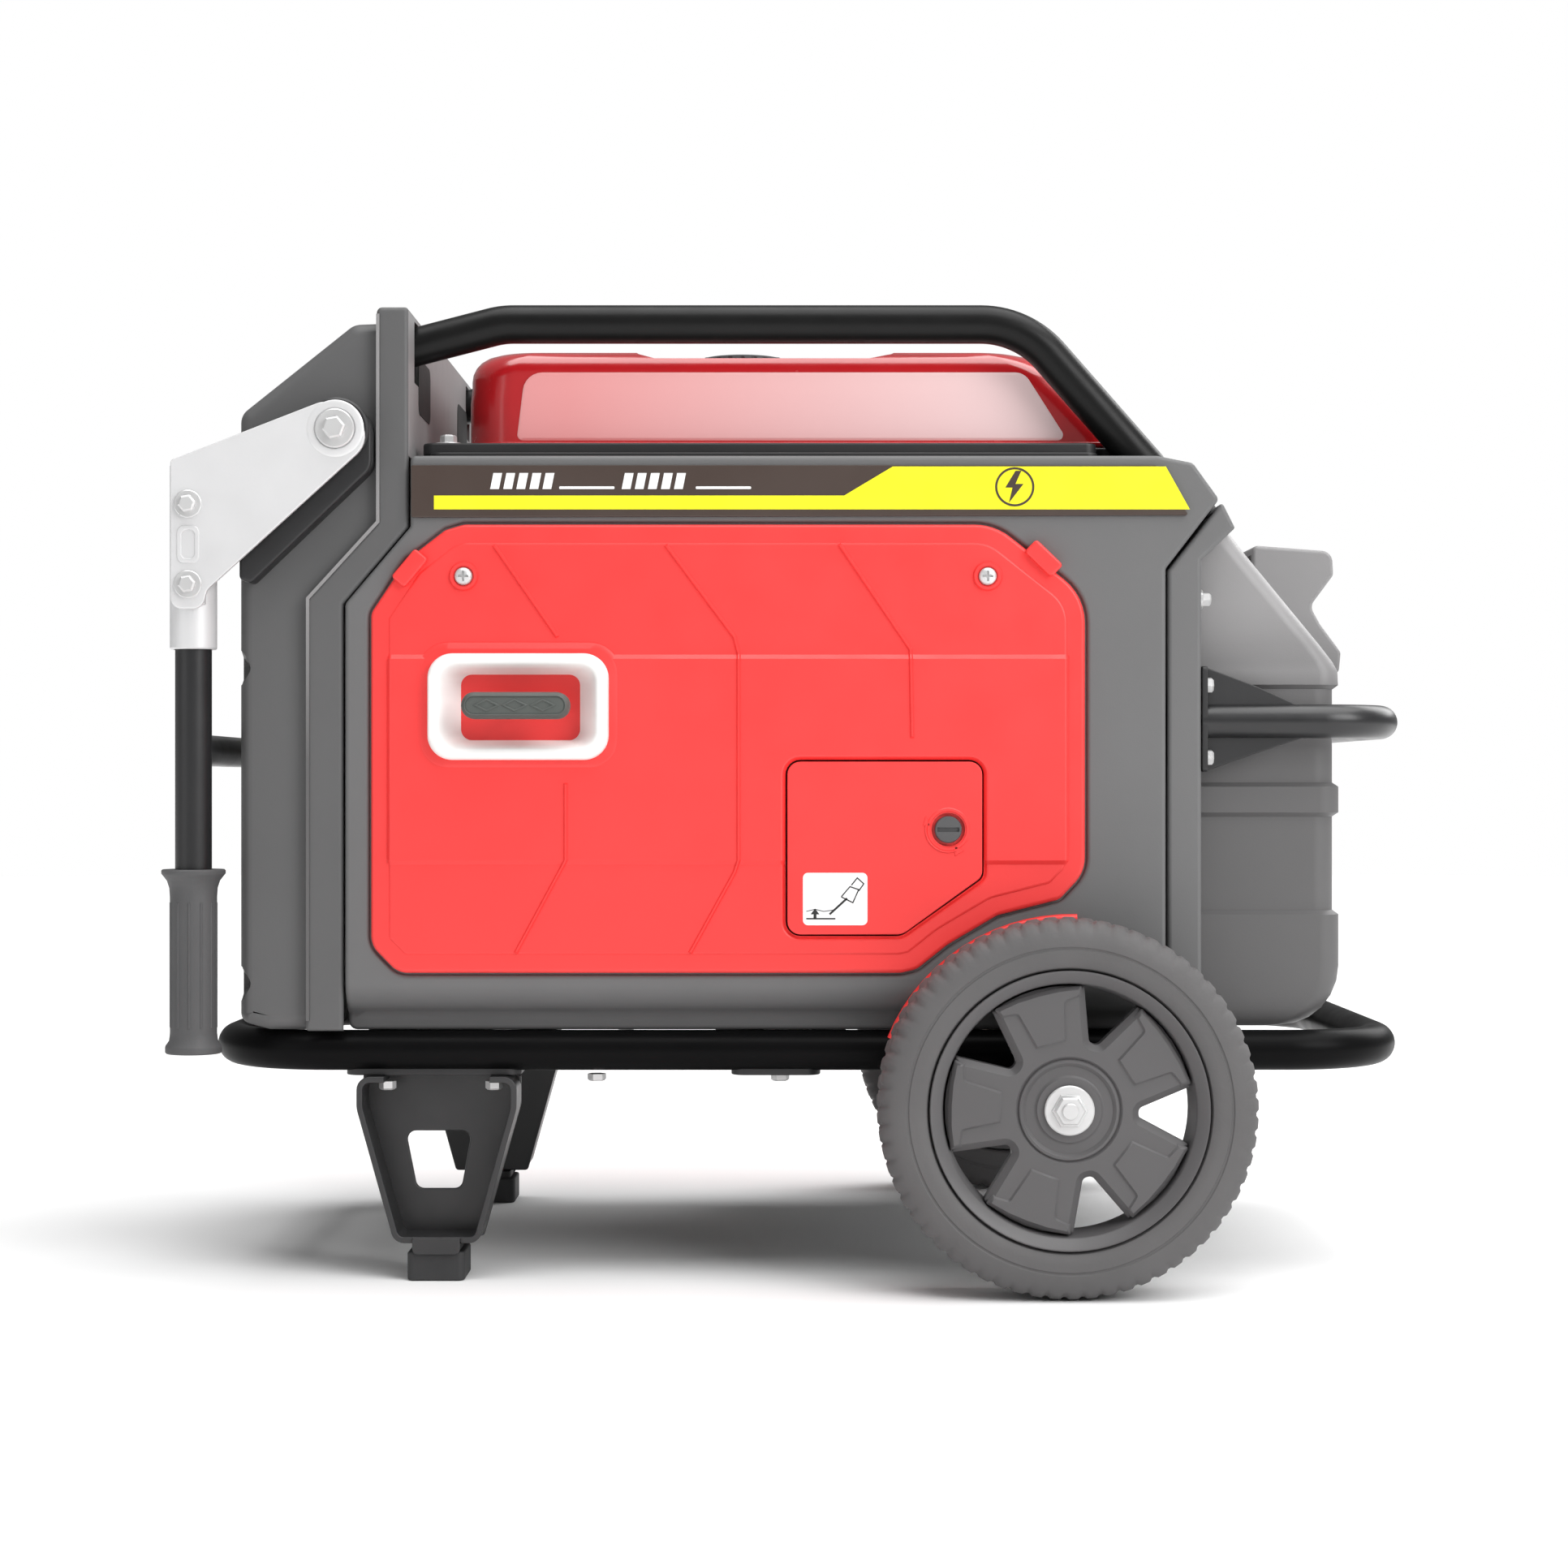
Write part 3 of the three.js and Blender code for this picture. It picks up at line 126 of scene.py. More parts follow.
def rounded(corners, radius=0, steps=6):
    # true arcs at every corner; a third number on a corner is its own radius
    out = []
    for i, corner in enumerate(corners):
        near = (corners[i - 1], corner, corners[(i + 1) % len(corners)])
        r = corner[2] if len(corner) > 2 else radius
        out += cornerArc(*(Vector(c[:2]) for c in near), r, steps)
    return out if area(out) > 0 else out[::-1]


def shrunk(corners, amount):
    # the sharp outline moved in first, then rounded to suit
    loop = corners if area([c[:2] for c in corners]) > 0 else corners[::-1]
    moved = inset([c[:2] for c in loop], amount)
    out = []
    for i, (x, y) in enumerate(moved):
        a, b, c = (Vector(loop[k % len(loop)][:2]) for k in (i - 1, i, i + 1))
        bulges = (b - a).cross(c - b) > 0
        r = loop[i][2] if len(loop[i]) > 2 else 0
        out.append((x, y, max(1.5, r - amount) if bulges else r + amount))
    return rounded(out)


def circle(x, y, r, steps=48):
    return [(x + r * math.cos(2 * math.pi * i / steps),
             y + r * math.sin(2 * math.pi * i / steps)) for i in range(steps)]


def rectangle(u0, u1, v0, v1, r=0, steps=6):
    return rounded([(u0, v0), (u1, v0), (u1, v1), (u0, v1)], r, steps)


def inset(points, amount):
    out = []
    count = len(points)
    for i in range(count):
        a, b, c = Vector(points[i - 1]), Vector(points[i]), Vector(points[(i + 1) % count])
        u, w = (b - a).normalized(), (c - b).normalized()
        n = Vector((-u.y, u.x))
        m = n + Vector((-w.y, w.x))
        m = n if m.length < 1e-6 else m.normalized()
        step = amount / max(0.4, m.dot(n))
        out.append((b.x + m.x * step, b.y + m.y * step))
    return unfolded(points, out)


def unfolded(points, moved):
    # where a tight corner has turned over, its points gather where the good edges meet
    count = len(points)
    good = []
    for i in range(count):
        j = (i + 1) % count
        was = Vector(points[j]) - Vector(points[i])
        good.append(was.dot(Vector(moved[j]) - Vector(moved[i])) > 1e-9)
    if all(good) or sum(good) < 3:
        return moved
    out = list(moved)
    first = next(i for i in range(count) if good[i] and not good[(i + 1) % count])
    i = 1
    while i < count:
        a = (first + i) % count
        if good[a]:
            i += 1
            continue
        length = 1
        while not good[(a + length) % count]:
            length += 1
        b = (a + length) % count
        before = [Vector(moved[a - 1]), Vector(moved[a])]
        after = [Vector(moved[b]), Vector(moved[(b + 1) % count])]
        meet = crossing(before, after)
        for k in range(length + 1):
            out[(a + k) % count] = (meet.x, meet.y)
        i += length
    return out


def crossing(one, two):
    # where two long lines meet, or halfway between them when they run side by side
    u, w = one[1] - one[0], two[1] - two[0]
    turn = u.cross(w)
    if abs(turn) < 1e-6 * u.length * w.length:
        return (one[1] + two[0]) / 2
    return one[0] + u * ((two[0] - one[0]).cross(w) / turn)


def layered(name, plane, outline, sections, holes=(), sharpAngle=38):
    # outline stepped through (inset, depth) sections, holes step the other way
    loops = [outline if area(outline) > 0 else outline[::-1]]
    loops += [h if area(h) < 0 else h[::-1] for h in holes]
    points, faces, rings = [], [], []
    for amount, depth in sections:
        ring = []
        for loop in loops:
            shifted = inset(loop, amount)
            ring.append((len(points), shifted))
            points += [toSpace(plane, u, v, depth) for u, v in shifted]
        rings.append(ring)
    for one, two in zip(rings, rings[1:]):
        for (a, loop), (b, _) in zip(one, two):
            faces += bandFaces(a, b, len(loop))
    for ring in (rings[0], rings[-1]):
        flat = [[Vector((u, v, 0)) for u, v in loop] for _, loop in ring]
        index = [start + i for start, loop in ring for i in range(len(loop))]
        faces += [tuple(index[i] for i in tri) for tri in geometry.tessellate_polygon(flat)]
    return makePiece(name, points, faces, sharpAngle)


def softEdge(back, face, edge, steps=3):
    # sections of a plate from its back to a face with a round edge
    way = 1 if face > back else -1
    out = [(0, back)]
    for k in range(steps + 1):
        a = math.pi / 2 * k / steps
        out.append((edge * (1 - math.cos(a)), face - way * edge * (1 - math.sin(a))))
    return out


def bothEdges(back, face, edge, steps=3):
    way = 1 if face > back else -1
    out = []
    for k in range(steps, -1, -1):
        a = math.pi / 2 * k / steps
        out.append((edge * (1 - math.cos(a)), back + way * edge * (1 - math.sin(a))))
    return out + softEdge(back, face, edge, steps)[1:]


def turned(name, profile, axis, centre, steps=64, closed=False, sharpAngle=38):
    # profile is (radius, distance along axis); centre gives the other two coordinates
    points, faces = [], []
    count = len(profile)
    for i in range(steps):
        a = 2 * math.pi * i / steps
        for r, d in profile:
            u, v = centre[0] + r * math.cos(a), centre[1] + r * math.sin(a)
            points.append({"x": (d, u, v), "y": (u, d, v), "z": (u, v, d)}[axis])
    last = count if closed else count - 1
    for i in range(steps):
        j = (i + 1) % steps
        faces += bandFaces(i * count, j * count, count)[:last]
    return makePiece(name, points, faces, sharpAngle)


def bentTube(name, corners, radii, r, closed=False, sides=32, bendSteps=10):
    pts = [Vector(c) for c in corners]
    spine = []
    count = len(pts)
    for i in range(count):
        if not closed and i in (0, count - 1):
            spine.append(pts[i])
            continue
        here, before, after = pts[i], pts[i - 1], pts[(i + 1) % count]
        back, on = (before - here).normalized(), (after - here).normalized()
        half = back.angle(on) / 2
        reach = radii[i] / math.tan(half)
        centre = here + (back + on).normalized() * (radii[i] / math.sin(half))
        start = here + back * reach - centre
        end = here + on * reach - centre
        spin = start.cross(end).normalized()
        for k in range(bendSteps + 1):
            turn = Matrix.Rotation(start.angle(end) * k / bendSteps, 3, spin)
            spine.append(centre + turn @ start)
    n = len(spine)
    points, faces = [], []
    side = None
    for i in range(n):
        if closed:
            way = (spine[(i + 1) % n] - spine[i]).normalized() + (spine[i] - spine[i - 1]).normalized()
        else:
            way = Vector()
            if i < n - 1:
                way += (spine[i + 1] - spine[i]).normalized()
            if i > 0:
                way += (spine[i] - spine[i - 1]).normalized()
        way.normalize()
        if side is None:
            side = way.orthogonal().normalized()
        side = (side - way * side.dot(way)).normalized()
        up = way.cross(side)
        for k in range(sides):
            a = 2 * math.pi * k / sides
            points.append(tuple(spine[i] + side * (r * math.cos(a)) + up * (r * math.sin(a))))
    for i in range(n if closed else n - 1):
        j = (i + 1) % n
        shift = 0
        if closed and j == 0:
            gaps = [(Vector(points[i * sides]) - Vector(points[m])).length for m in range(sides)]
            shift = gaps.index(min(gaps))
        for k in range(sides):
            m = (k + 1) % sides
            faces.append((i * sides + k, i * sides + m, j * sides + (m + shift) % sides,
                          j * sides + (k + shift) % sides))
    if not closed:
        faces.append(tuple(range(sides)))
        faces.append(tuple((n - 1) * sides + k for k in range(sides)))
    return makePiece(name, points, faces)


def boxPiece(name, x0, x1, y0, y1, z0, z1, edge=1.0, steps=2):
    work = bmesh.new()
    bmesh.ops.create_cube(work, size=1)
    for v in work.verts:
        v.co = ((x0 + x1) / 2 + v.co.x * (x1 - x0), (y0 + y1) / 2 + v.co.y * (y1 - y0),
                (z0 + z1) / 2 + v.co.z * (z1 - z0))
    bmesh.ops.bevel(work, geom=work.edges[:], offset=edge, segments=steps, profile=0.5,
                    affect="EDGES", clamp_overlap=True)
    points = [tuple(v.co) for v in work.verts]
    faces = [tuple(v.index for v in f.verts) for f in work.faces]
    work.free()
    return makePiece(name, points, faces, 50)


def joined(name, pieces):
    # one mesh from several, so that it can be cut or finished as one
    work = bmesh.new()
    for piece in pieces:
        work.from_mesh(piece.data)
    mesh = bpy.data.meshes.new(name)
    work.to_mesh(mesh)
    work.free()
    for piece in pieces:
        bpy.data.objects.remove(piece)
    return evenShading(placed(name, mesh))


def carve(piece, *tools):
    for tool in tools:
        cut = piece.modifiers.new("carve", "BOOLEAN")
        cut.operation = "DIFFERENCE"
        cut.solver = "EXACT"
        cut.object = tool
        graph = bpy.context.evaluated_depsgraph_get()
        mesh = bpy.data.meshes.new_from_object(piece.evaluated_get(graph))
        piece.modifiers.remove(cut)
        piece.data = mesh
    for tool in tools:
        bpy.data.objects.remove(tool)
    markSharp(piece)
    return piece


def markSharp(piece, angle=38):
    work = bmesh.new()
    work.from_mesh(piece.data)
    bmesh.ops.dissolve_degenerate(work, edges=work.edges, dist=0.000005)
    for edge in work.edges:
        if len(edge.link_faces) == 2:
            edge.smooth = edge.calc_face_angle(0) < math.radians(angle)
    for face in work.faces:
        face.smooth = True
    work.to_mesh(piece.data)
    work.free()


def flipAcross(mesh):
    mesh.transform(Matrix.Scale(-1, 4, (0, 1, 0)))
    mesh.flip_normals()


def mirrorCopy(piece, name):
    mesh = piece.data.copy()
    flipAcross(mesh)
    return evenShading(placed(name, mesh))


def dress(piece, material, body, replaced=()):
    piece.data.materials.clear()
    piece.data.materials.append(material)
    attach(piece, body)
    if replaced:
        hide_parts(*([replaced] if isinstance(replaced, str) else replaced))
    return piece


def dressBoth(piece, material, body, replaced=None, bodies=None):
    # the near piece and its mirror image on the far side
    name = piece.name
    twin = mirrorCopy(piece, name + "Far")
    nearBody, farBody = bodies or (body, body)
    dress(piece, material, nearBody, replaced + "_near" if replaced else ())
    dress(twin, material, farBody, replaced + "_far" if replaced else ())
    return piece, twin


# finishes

def finish(name, look):
    mat = bpy.data.materials.new(name)
    mat.use_nodes = True
    nodes, links = mat.node_tree.nodes, mat.node_tree.links
    shader = nodes["Principled BSDF"]
    place = nodes.new("ShaderNodeTexCoord")
    shader.inputs["Metallic"].default_value = look.get("metal", 0.0)
    shader.inputs["Specular IOR Level"].default_value = look.get("specular", 0.5)
    if look.get("coat"):
        shader.inputs["Coat Weight"].default_value = look["coat"]
        shader.inputs["Coat Roughness"].default_value = look.get("coatRough", 0.06)
    if look.get("sheen"):
        shader.inputs["Sheen Weight"].default_value = look["sheen"]

    cloud = nodes.new("ShaderNodeTexNoise")
    cloud.inputs["Scale"].default_value = look.get("cloudScale", 9)
    cloud.inputs["Detail"].default_value = 5
    links.new(place.outputs["Object"], cloud.inputs["Vector"])
    tint = nodes.new("ShaderNodeValToRGB")
    base = look["colour"]
    shift = look.get("shift", 0.06)
    tint.color_ramp.elements[0].position = 0.32
    tint.color_ramp.elements[1].position = 0.68
    tint.color_ramp.elements[0].color = tuple(max(0, c * (1 - shift)) for c in base) + (1,)
    tint.color_ramp.elements[1].color = tuple(min(1, c * (1 + shift)) for c in base) + (1,)
    links.new(cloud.outputs["Fac"], tint.inputs["Fac"])
    colour = tint.outputs["Color"]

    if look.get("paintedLight"):
        # one colour passes into another along x or z; each use here is painted light or shade
        along, start, end, other = look["paintedLight"]
        split = nodes.new("ShaderNodeSeparateXYZ")
        links.new(place.outputs["Object"], split.inputs["Vector"])
        share = nodes.new("ShaderNodeMapRange")
        share.inputs["From Min"].default_value = start
        share.inputs["From Max"].default_value = end
        links.new(split.outputs[along], share.inputs["Value"])
        turnTo = nodes.new("ShaderNodeMix")
        turnTo.data_type = "RGBA"
        links.new(share.outputs["Result"], turnTo.inputs["Factor"])
        links.new(colour, turnTo.inputs[6])
        turnTo.inputs[7].default_value = tuple(other) + (1,)
        colour = turnTo.outputs[2]

    if look.get("wear"):
        # lighter rubbed spots, denser where a second noise is high
        rub = nodes.new("ShaderNodeTexNoise")
        rub.inputs["Scale"].default_value = look.get("wearScale", 60)
        rub.inputs["Detail"].default_value = 8
        rub.inputs["Roughness"].default_value = 0.7
        links.new(place.outputs["Object"], rub.inputs["Vector"])
        mask = nodes.new("ShaderNodeValToRGB")
        mask.color_ramp.elements[0].position = 0.6
        mask.color_ramp.elements[1].position = 0.78
        mask.color_ramp.elements[1].color = (look["wear"],) * 3 + (1,)
        links.new(rub.outputs["Fac"], mask.inputs["Fac"])
        blend = nodes.new("ShaderNodeMix")
        blend.data_type = "RGBA"
        links.new(mask.outputs["Color"], blend.inputs["Factor"])
        links.new(colour, blend.inputs[6])
        blend.inputs[7].default_value = tuple(look.get("wearColour", base)) + (1,)
        colour = blend.outputs[2]
    links.new(colour, shader.inputs["Base Color"])

    smear = nodes.new("ShaderNodeTexNoise")
    smear.inputs["Scale"].default_value = look.get("smearScale", 35)
    smear.inputs["Detail"].default_value = 4
    links.new(place.outputs["Object"], smear.inputs["Vector"])
    gloss = nodes.new("ShaderNodeMapRange")
    gloss.inputs["From Min"].default_value = 0.3
    gloss.inputs["From Max"].default_value = 0.7
    gloss.inputs["To Min"].default_value = look["rough"][0]
    gloss.inputs["To Max"].default_value = look["rough"][1]
    links.new(smear.outputs["Fac"], gloss.inputs["Value"])
    links.new(gloss.outputs["Result"], shader.inputs["Roughness"])

    grain = nodes.new(look.get("grainNode", "ShaderNodeTexNoise"))
    grain.inputs["Scale"].default_value = look.get("grainScale", 700)
    if "Detail" in grain.inputs:
        grain.inputs["Detail"].default_value = 3
    stretch = look.get("stretch")
    if stretch:
        squeeze = nodes.new("ShaderNodeMapping")
        squeeze.inputs["Scale"].default_value = stretch
        links.new(place.outputs["Object"], squeeze.inputs["Vector"])
        links.new(squeeze.outputs["Vector"], grain.inputs["Vector"])
    else:
        links.new(place.outputs["Object"], grain.inputs["Vector"])
    bump = nodes.new("ShaderNodeBump")
    bump.inputs["Strength"].default_value = look.get("grain", 0.12)
    bump.inputs["Distance"].default_value = look.get("grainDepth", 0.0004)
    height = grain.outputs["Distance"] if "Distance" in grain.outputs else grain.outputs["Fac"]
    links.new(height, bump.inputs["Height"])
    links.new(bump.outputs["Normal"], shader.inputs["Normal"])
    return mat


finishes = {
    "blackTube": finish("powder coated black tube", {
        "colour": (0.012, 0.012, 0.013), "rough": (0.3, 0.38), "grain": 0.1, "grainScale": 900,
        "shift": 0.15}),
    "blackSheet": finish("black pressed sheet", {
        "colour": (0.014, 0.014, 0.015), "rough": (0.42, 0.55), "grain": 0.15, "grainScale": 600,
        "shift": 0.2}),
    "legSheet": finish("black leg sheet", {
        "colour": (0.020, 0.020, 0.021), "rough": (0.36, 0.46), "grain": 0.12, "grainScale": 600,
        "shift": 0.12, "specular": 0.6}),
    # painted shade: the same black tube made darker to offset light bounced up from the tank and floor
    "shadedRailTube": finish("black tube of the upper rails, painted shade", {
        "colour": (0.006, 0.006, 0.006), "rough": (0.32, 0.4), "grain": 0.1, "grainScale": 900,
        "shift": 0.15, "specular": 0.2}),
    # painted shade: the same black tube made darker for its place low down in shade
    "shadedBaseTube": finish("black tube of the base, painted shade", {
        "colour": (0.0035, 0.0035, 0.0037), "rough": (0.34, 0.42), "grain": 0.1, "grainScale": 900,
        "shift": 0.15, "specular": 0.06}),
    "frontShell": finish("moulded dark grey plastic", {
        "colour": (0.094, 0.094, 0.095), "rough": (0.48, 0.58), "grain": 0.14, "grainScale": 1100,
        "shift": 0.03}),
    # painted shade: the grey darkens towards the lower edge of the skin, below 205 mm
    "greyShell": finish("moulded grey plastic with painted shade low down", {
        "colour": (0.125, 0.125, 0.126), "rough": (0.5, 0.6), "grain": 0.14, "grainScale": 1100,
        "shift": 0.03, "paintedLight": ("Z", 0.205, 0.182, (0.062, 0.062, 0.063))}),
    # painted light: the grey turns paler from 360 mm up to 470 mm, standing in for light from above
    "paintedLitShell": finish("moulded grey plastic, painted lighter above", {
        "colour": (0.100, 0.098, 0.099), "rough": (0.46, 0.56), "grain": 0.14, "grainScale": 1100,
        "shift": 0.03, "paintedLight": ("Z", 0.36, 0.47, (0.25, 0.245, 0.247))}),
    "redPanel": finish("red moulded panel", {
        "colour": (0.84, 0.040, 0.038), "rough": (0.36, 0.46), "grain": 0.08, "grainScale": 1300,
        "shift": 0.025}),
    "tankRed": finish("red tank enamel", {
        "colour": (0.56, 0.014, 0.019), "rough": (0.2, 0.28), "grain": 0.03, "grainScale": 300,
        "shift": 0.06, "coat": 0.8, "coatRough": 0.14}),
    # painted reflection: pink to near white, whiter towards the rear, standing in for a bright studio
    # seen in the glossy enamel
    "tankPaintedReflection": finish("tank enamel, painted reflection", {
        "colour": (1.0, 0.40, 0.40), "rough": (0.12, 0.2), "grain": 0.03, "grainScale": 300,
        "shift": 0.02, "coat": 1.0, "coatRough": 0.05, "paintedLight": ("X", -0.16, 0.19, (1.0, 0.77, 0.77))}),
    "brownTrim": finish("brown printed film", {
        "colour": (0.050, 0.032, 0.025), "rough": (0.4, 0.5), "grain": 0.05, "shift": 0.05}),
    "yellowFilm": finish("yellow printed film", {
        "colour": (0.88, 0.84, 0.01), "rough": (0.4, 0.5), "grain": 0.05, "shift": 0.02}),
    "silverSheet": finish("silver painted steel", {
        "colour": (0.66, 0.66, 0.665), "rough": (0.34, 0.46), "grain": 0.12, "grainScale": 500,
        "metal": 0.25, "shift": 0.04}),
    "whiteBezel": finish("white moulded bezel", {
        "colour": (0.86, 0.855, 0.84), "rough": (0.35, 0.45), "grain": 0.06, "shift": 0.02}),
    "gripRubber": finish("grip rubber", {
        "colour": (0.074, 0.074, 0.076), "rough": (0.55, 0.7), "grain": 0.3, "grainScale": 500,
        "shift": 0.08}),
    "pullRubber": finish("starter grip rubber", {
        "colour": (0.070, 0.078, 0.072), "rough": (0.5, 0.62), "grain": 0.2, "grainScale": 600,
        "shift": 0.08}),
    "footRubber": finish("foot rubber", {
        "colour": (0.026, 0.026, 0.027), "rough": (0.6, 0.75), "grain": 0.3, "shift": 0.1}),
    "tyreRubber": finish("tyre rubber", {
        "colour": (0.090, 0.087, 0.088), "rough": (0.62, 0.78), "grain": 0.35, "grainScale": 420,
        "shift": 0.07}),
    "rimPlastic": finish("rim plastic", {
        "colour": (0.084, 0.081, 0.083), "rough": (0.42, 0.52), "grain": 0.12, "shift": 0.04}),
    "zinc": finish("bright zinc", {
        "colour": (0.62, 0.62, 0.62), "rough": (0.26, 0.4), "metal": 0.4, "grain": 0.2,
        "grainScale": 250, "shift": 0.08}),
    "castAlloy": finish("cast alloy", {
        "colour": (0.36, 0.36, 0.35), "rough": (0.45, 0.65), "metal": 0.7, "grain": 0.7,
        "grainScale": 220, "shift": 0.12}),
    "darkPlastic": finish("dark moulded plastic", {
        "colour": (0.022, 0.022, 0.024), "rough": (0.45, 0.58), "grain": 0.15, "shift": 0.1}),
    "copper": finish("lacquered copper winding", {
        "colour": (0.42, 0.16, 0.06), "rough": (0.35, 0.5), "metal": 0.7, "grain": 0.8,
        "grainScale": 120, "shift": 0.2}),
    "yellowPlastic": finish("yellow moulded plastic", {
        "colour": (0.85, 0.52, 0.02), "rough": (0.4, 0.5), "grain": 0.08, "shift": 0.04}),
    "ropeWeave": finish("braided rope", {
        "colour": (0.035, 0.035, 0.035), "rough": (0.8, 0.95), "grain": 1.0, "grainScale": 500,
        "grainNode": "ShaderNodeTexVoronoi", "shift": 0.3}),
    # painted shade: near black, for sheets that stand in for the shade inside gaps and slots
    "gapShade": finish("painted shade of a gap", {
        "colour": (0.012, 0.012, 0.012), "rough": (0.7, 0.8), "shift": 0.1}),
    "paper": finish("printed label", {
        "colour": (0.86, 0.86, 0.86), "rough": (0.45, 0.55), "grain": 0.05, "shift": 0.01}),
    "ink": finish("printing ink", {
        "colour": (0.02, 0.02, 0.02), "rough": (0.5, 0.6), "grain": 0.05, "shift": 0.1}),
    "glass": finish("display glass", {
        "colour": (0.01, 0.014, 0.02), "rough": (0.05, 0.1), "coat": 1.0, "grain": 0.01,
        "shift": 0.1}),
    "brass": finish("brass pin", {
        "colour": (0.6, 0.42, 0.14), "rough": (0.3, 0.42), "metal": 0.9, "shift": 0.08}),
    "exhaustSteel": finish("heat tinted steel", {
        "colour": (0.33, 0.29, 0.25), "rough": (0.35, 0.5), "metal": 0.9, "grain": 0.3,
        "grainScale": 180, "shift": 0.25}),
}
print("finishes made:", len(finishes))

# tubes of the frame

def slopeThrough(piece, cuts, depthAt, low, high):
    # extra edges across a face at each height, then the face bent through them
    work = bmesh.new()
    work.from_mesh(piece.data)
    for z in cuts:
        everything = work.verts[:] + work.edges[:] + work.faces[:]
        bmesh.ops.bisect_plane(work, geom=everything, plane_co=(0, 0, z / 1000),
                               plane_no=(0, 0, 1), dist=0.00001)
    for v in work.verts:
        if low / 1000 <= v.co.y <= high / 1000:
            v.co.y += depthAt(v.co.z * 1000) / 1000
    bmesh.ops.recalc_face_normals(work, faces=work.faces)
    work.to_mesh(piece.data)
    work.free()


loopSize = {"tube": 14, "z": 158.5, "front": -398, "rear": 419.8, "half": 195, "corner": 75,
            "plates": [(-310, -188), (-42, 20), (140, 292)]}


def makeBase():
    s = loopSize
    corners = [(s["front"], -s["half"], s["z"]), (s["rear"], -s["half"], s["z"]),
               (s["rear"], s["half"], s["z"]), (s["front"], s["half"], s["z"])]
    loop = bentTube("baseLoop", corners, [s["corner"]] * 4, s["tube"], closed=True,
                    sides=40, bendSteps=16)
    dress(loop, finishes["shadedBaseTube"], "chassis", "base_frame")
    for i, (x0, x1) in enumerate(s["plates"]):
        outline = rectangle(x0, x1, -201, 201, 10)
        holes = [circle((x0 + x1) / 2, side * 120, 16, 32) for side in (-1, 1)]
        plate = layered("crossPlate%d" % i, "plan", outline, bothEdges(141.3, 146.3, 0.8), holes)
        dress(plate, finishes["blackSheet"], "chassis")
        for side in (-1, 1):
            bead = bentTube("weldBead%d%s" % (i, "Near" if side < 0 else "Far"),
                            [(x0 + 4, side * 186, 147.2), (x1 - 4, side * 186, 147.2)],
                            [0, 0], 2.2, sides=12)
            dress(bead, finishes["shadedBaseTube"], "chassis")
    bracket = layered("axleBracket", "side", rounded(
        [(140, 146), (140, 131), (164, 110), (204, 110), (228, 131), (228, 146)], 6),
        bothEdges(-222, -180, 1.2), [circle(wheelSize["x"], wheelSize["z"], 8.4, 40)])
    dressBoth(bracket, finishes["blackTube"], "chassis")
    for x in (-136, -8, 236):
        makeBolt("baseBolt%d" % x, "z", (x, -188), 141.4, -1, 6.5, 5, "chassis", both=True)
    print("base made")


def makeBolt(name, axis, at, face, way, r, height, body, both=False, washer=0):
    # hexagon head with a chamfered top, on a washer if one is asked for
    f = face + way * (2 if washer else 0)
    top = f + way * height
    ring = []
    for radius, d in ((r, f), (r, top - way * 1.2), (r - 1.4, top)):
        ring.append([(radius * math.cos(math.radians(60 * k + 10)),
                      radius * math.sin(math.radians(60 * k + 10)), d) for k in range(6)])
    order = {"x": lambda u, v, d: (d, at[0] + u, at[1] + v),
             "y": lambda u, v, d: (at[0] + u, d, at[1] + v),
             "z": lambda u, v, d: (at[0] + u, at[1] + v, d)}[axis]
    points = [order(u, v, d) for level in ring for u, v, d in level]
    faces = [tuple(range(6)), tuple(12 + k for k in range(6))]
    for level in (0, 6):
        faces += bandFaces(level, level + 6, 6)
    parts = [makePiece(name + "Hex", points, faces, 20)]
    if washer:
        parts.append(turned(name + "Washer", [(0, face), (washer, face), (washer, face + way * 1.6),
                                              (washer - 0.6, face + way * 2.1), (0, face + way * 2.1)],
                            axis, at, 40))
    bolt = joined(name, parts)
    if both:
        return dressBoth(bolt, finishes["zinc"], body)
    return dress(bolt, finishes["zinc"], body)


hoopSize = {"tube": 13.5, "y": 165, "foot": 147, "top": 668}


def makeHoops():
    s = hoopSize
    y = -s["y"]
    corners = [(-285, y, s["foot"]), (-285, y, 647), (-204, y, s["top"]), (163, y, s["top"]),
               (262, y, 555), (262, y, s["foot"])]
    hoop = bentTube("hoop", corners, [0, 18, 60, 65, 50, 0], s["tube"], sides=40, bendSteps=14)
    dressBoth(hoop, finishes["shadedRailTube"], "chassis", "top_rail")
    print("hoops made")


bumperSize = {"tube": 11.8, "root": 284, "reach": 418, "half": 200, "z": 387, "bend": 50}


def makeBumper():
    s = bumperSize
    corners = [(x, y, s["z"]) for x, y in ((s["root"], -s["half"]), (s["reach"], -s["half"]),
                                           (s["reach"], s["half"]), (s["root"], s["half"]))]
    bar = bentTube("bumper", corners, [0, s["bend"], s["bend"], 0], s["tube"], sides=36,
                   bendSteps=14)
    dress(bar, finishes["blackTube"], "chassis", "rear_bumper")
    flange = layered("bumperFlange", "front", rectangle(-211.5, -188.5, 352, 425, 3),
                     bothEdges(283.5, 287.5, 0.8))
    dressBoth(flange, finishes["blackSheet"], "chassis")
    gusset = layered("bumperGusset", "side", rounded(
        [(286, 352), (323, 365, 14), (356, 376), (356, 396), (323, 411, 14), (286, 425)], 2),
        bothEdges(-202.2, -197.8, 0.8))
    dressBoth(gusset, finishes["blackSheet"], "chassis")
    for z in (362, 412):
        makeBolt("bumperBolt%d" % z, "x", (-205, z), 287.5, 1, 5.5, 4.5, "chassis", both=True)
    print("bumper made")


legSize = {"plate": (-172.3, -176.3), "wall": (4.2, -172.6, -209.8), "bolts": (-281, -207)}


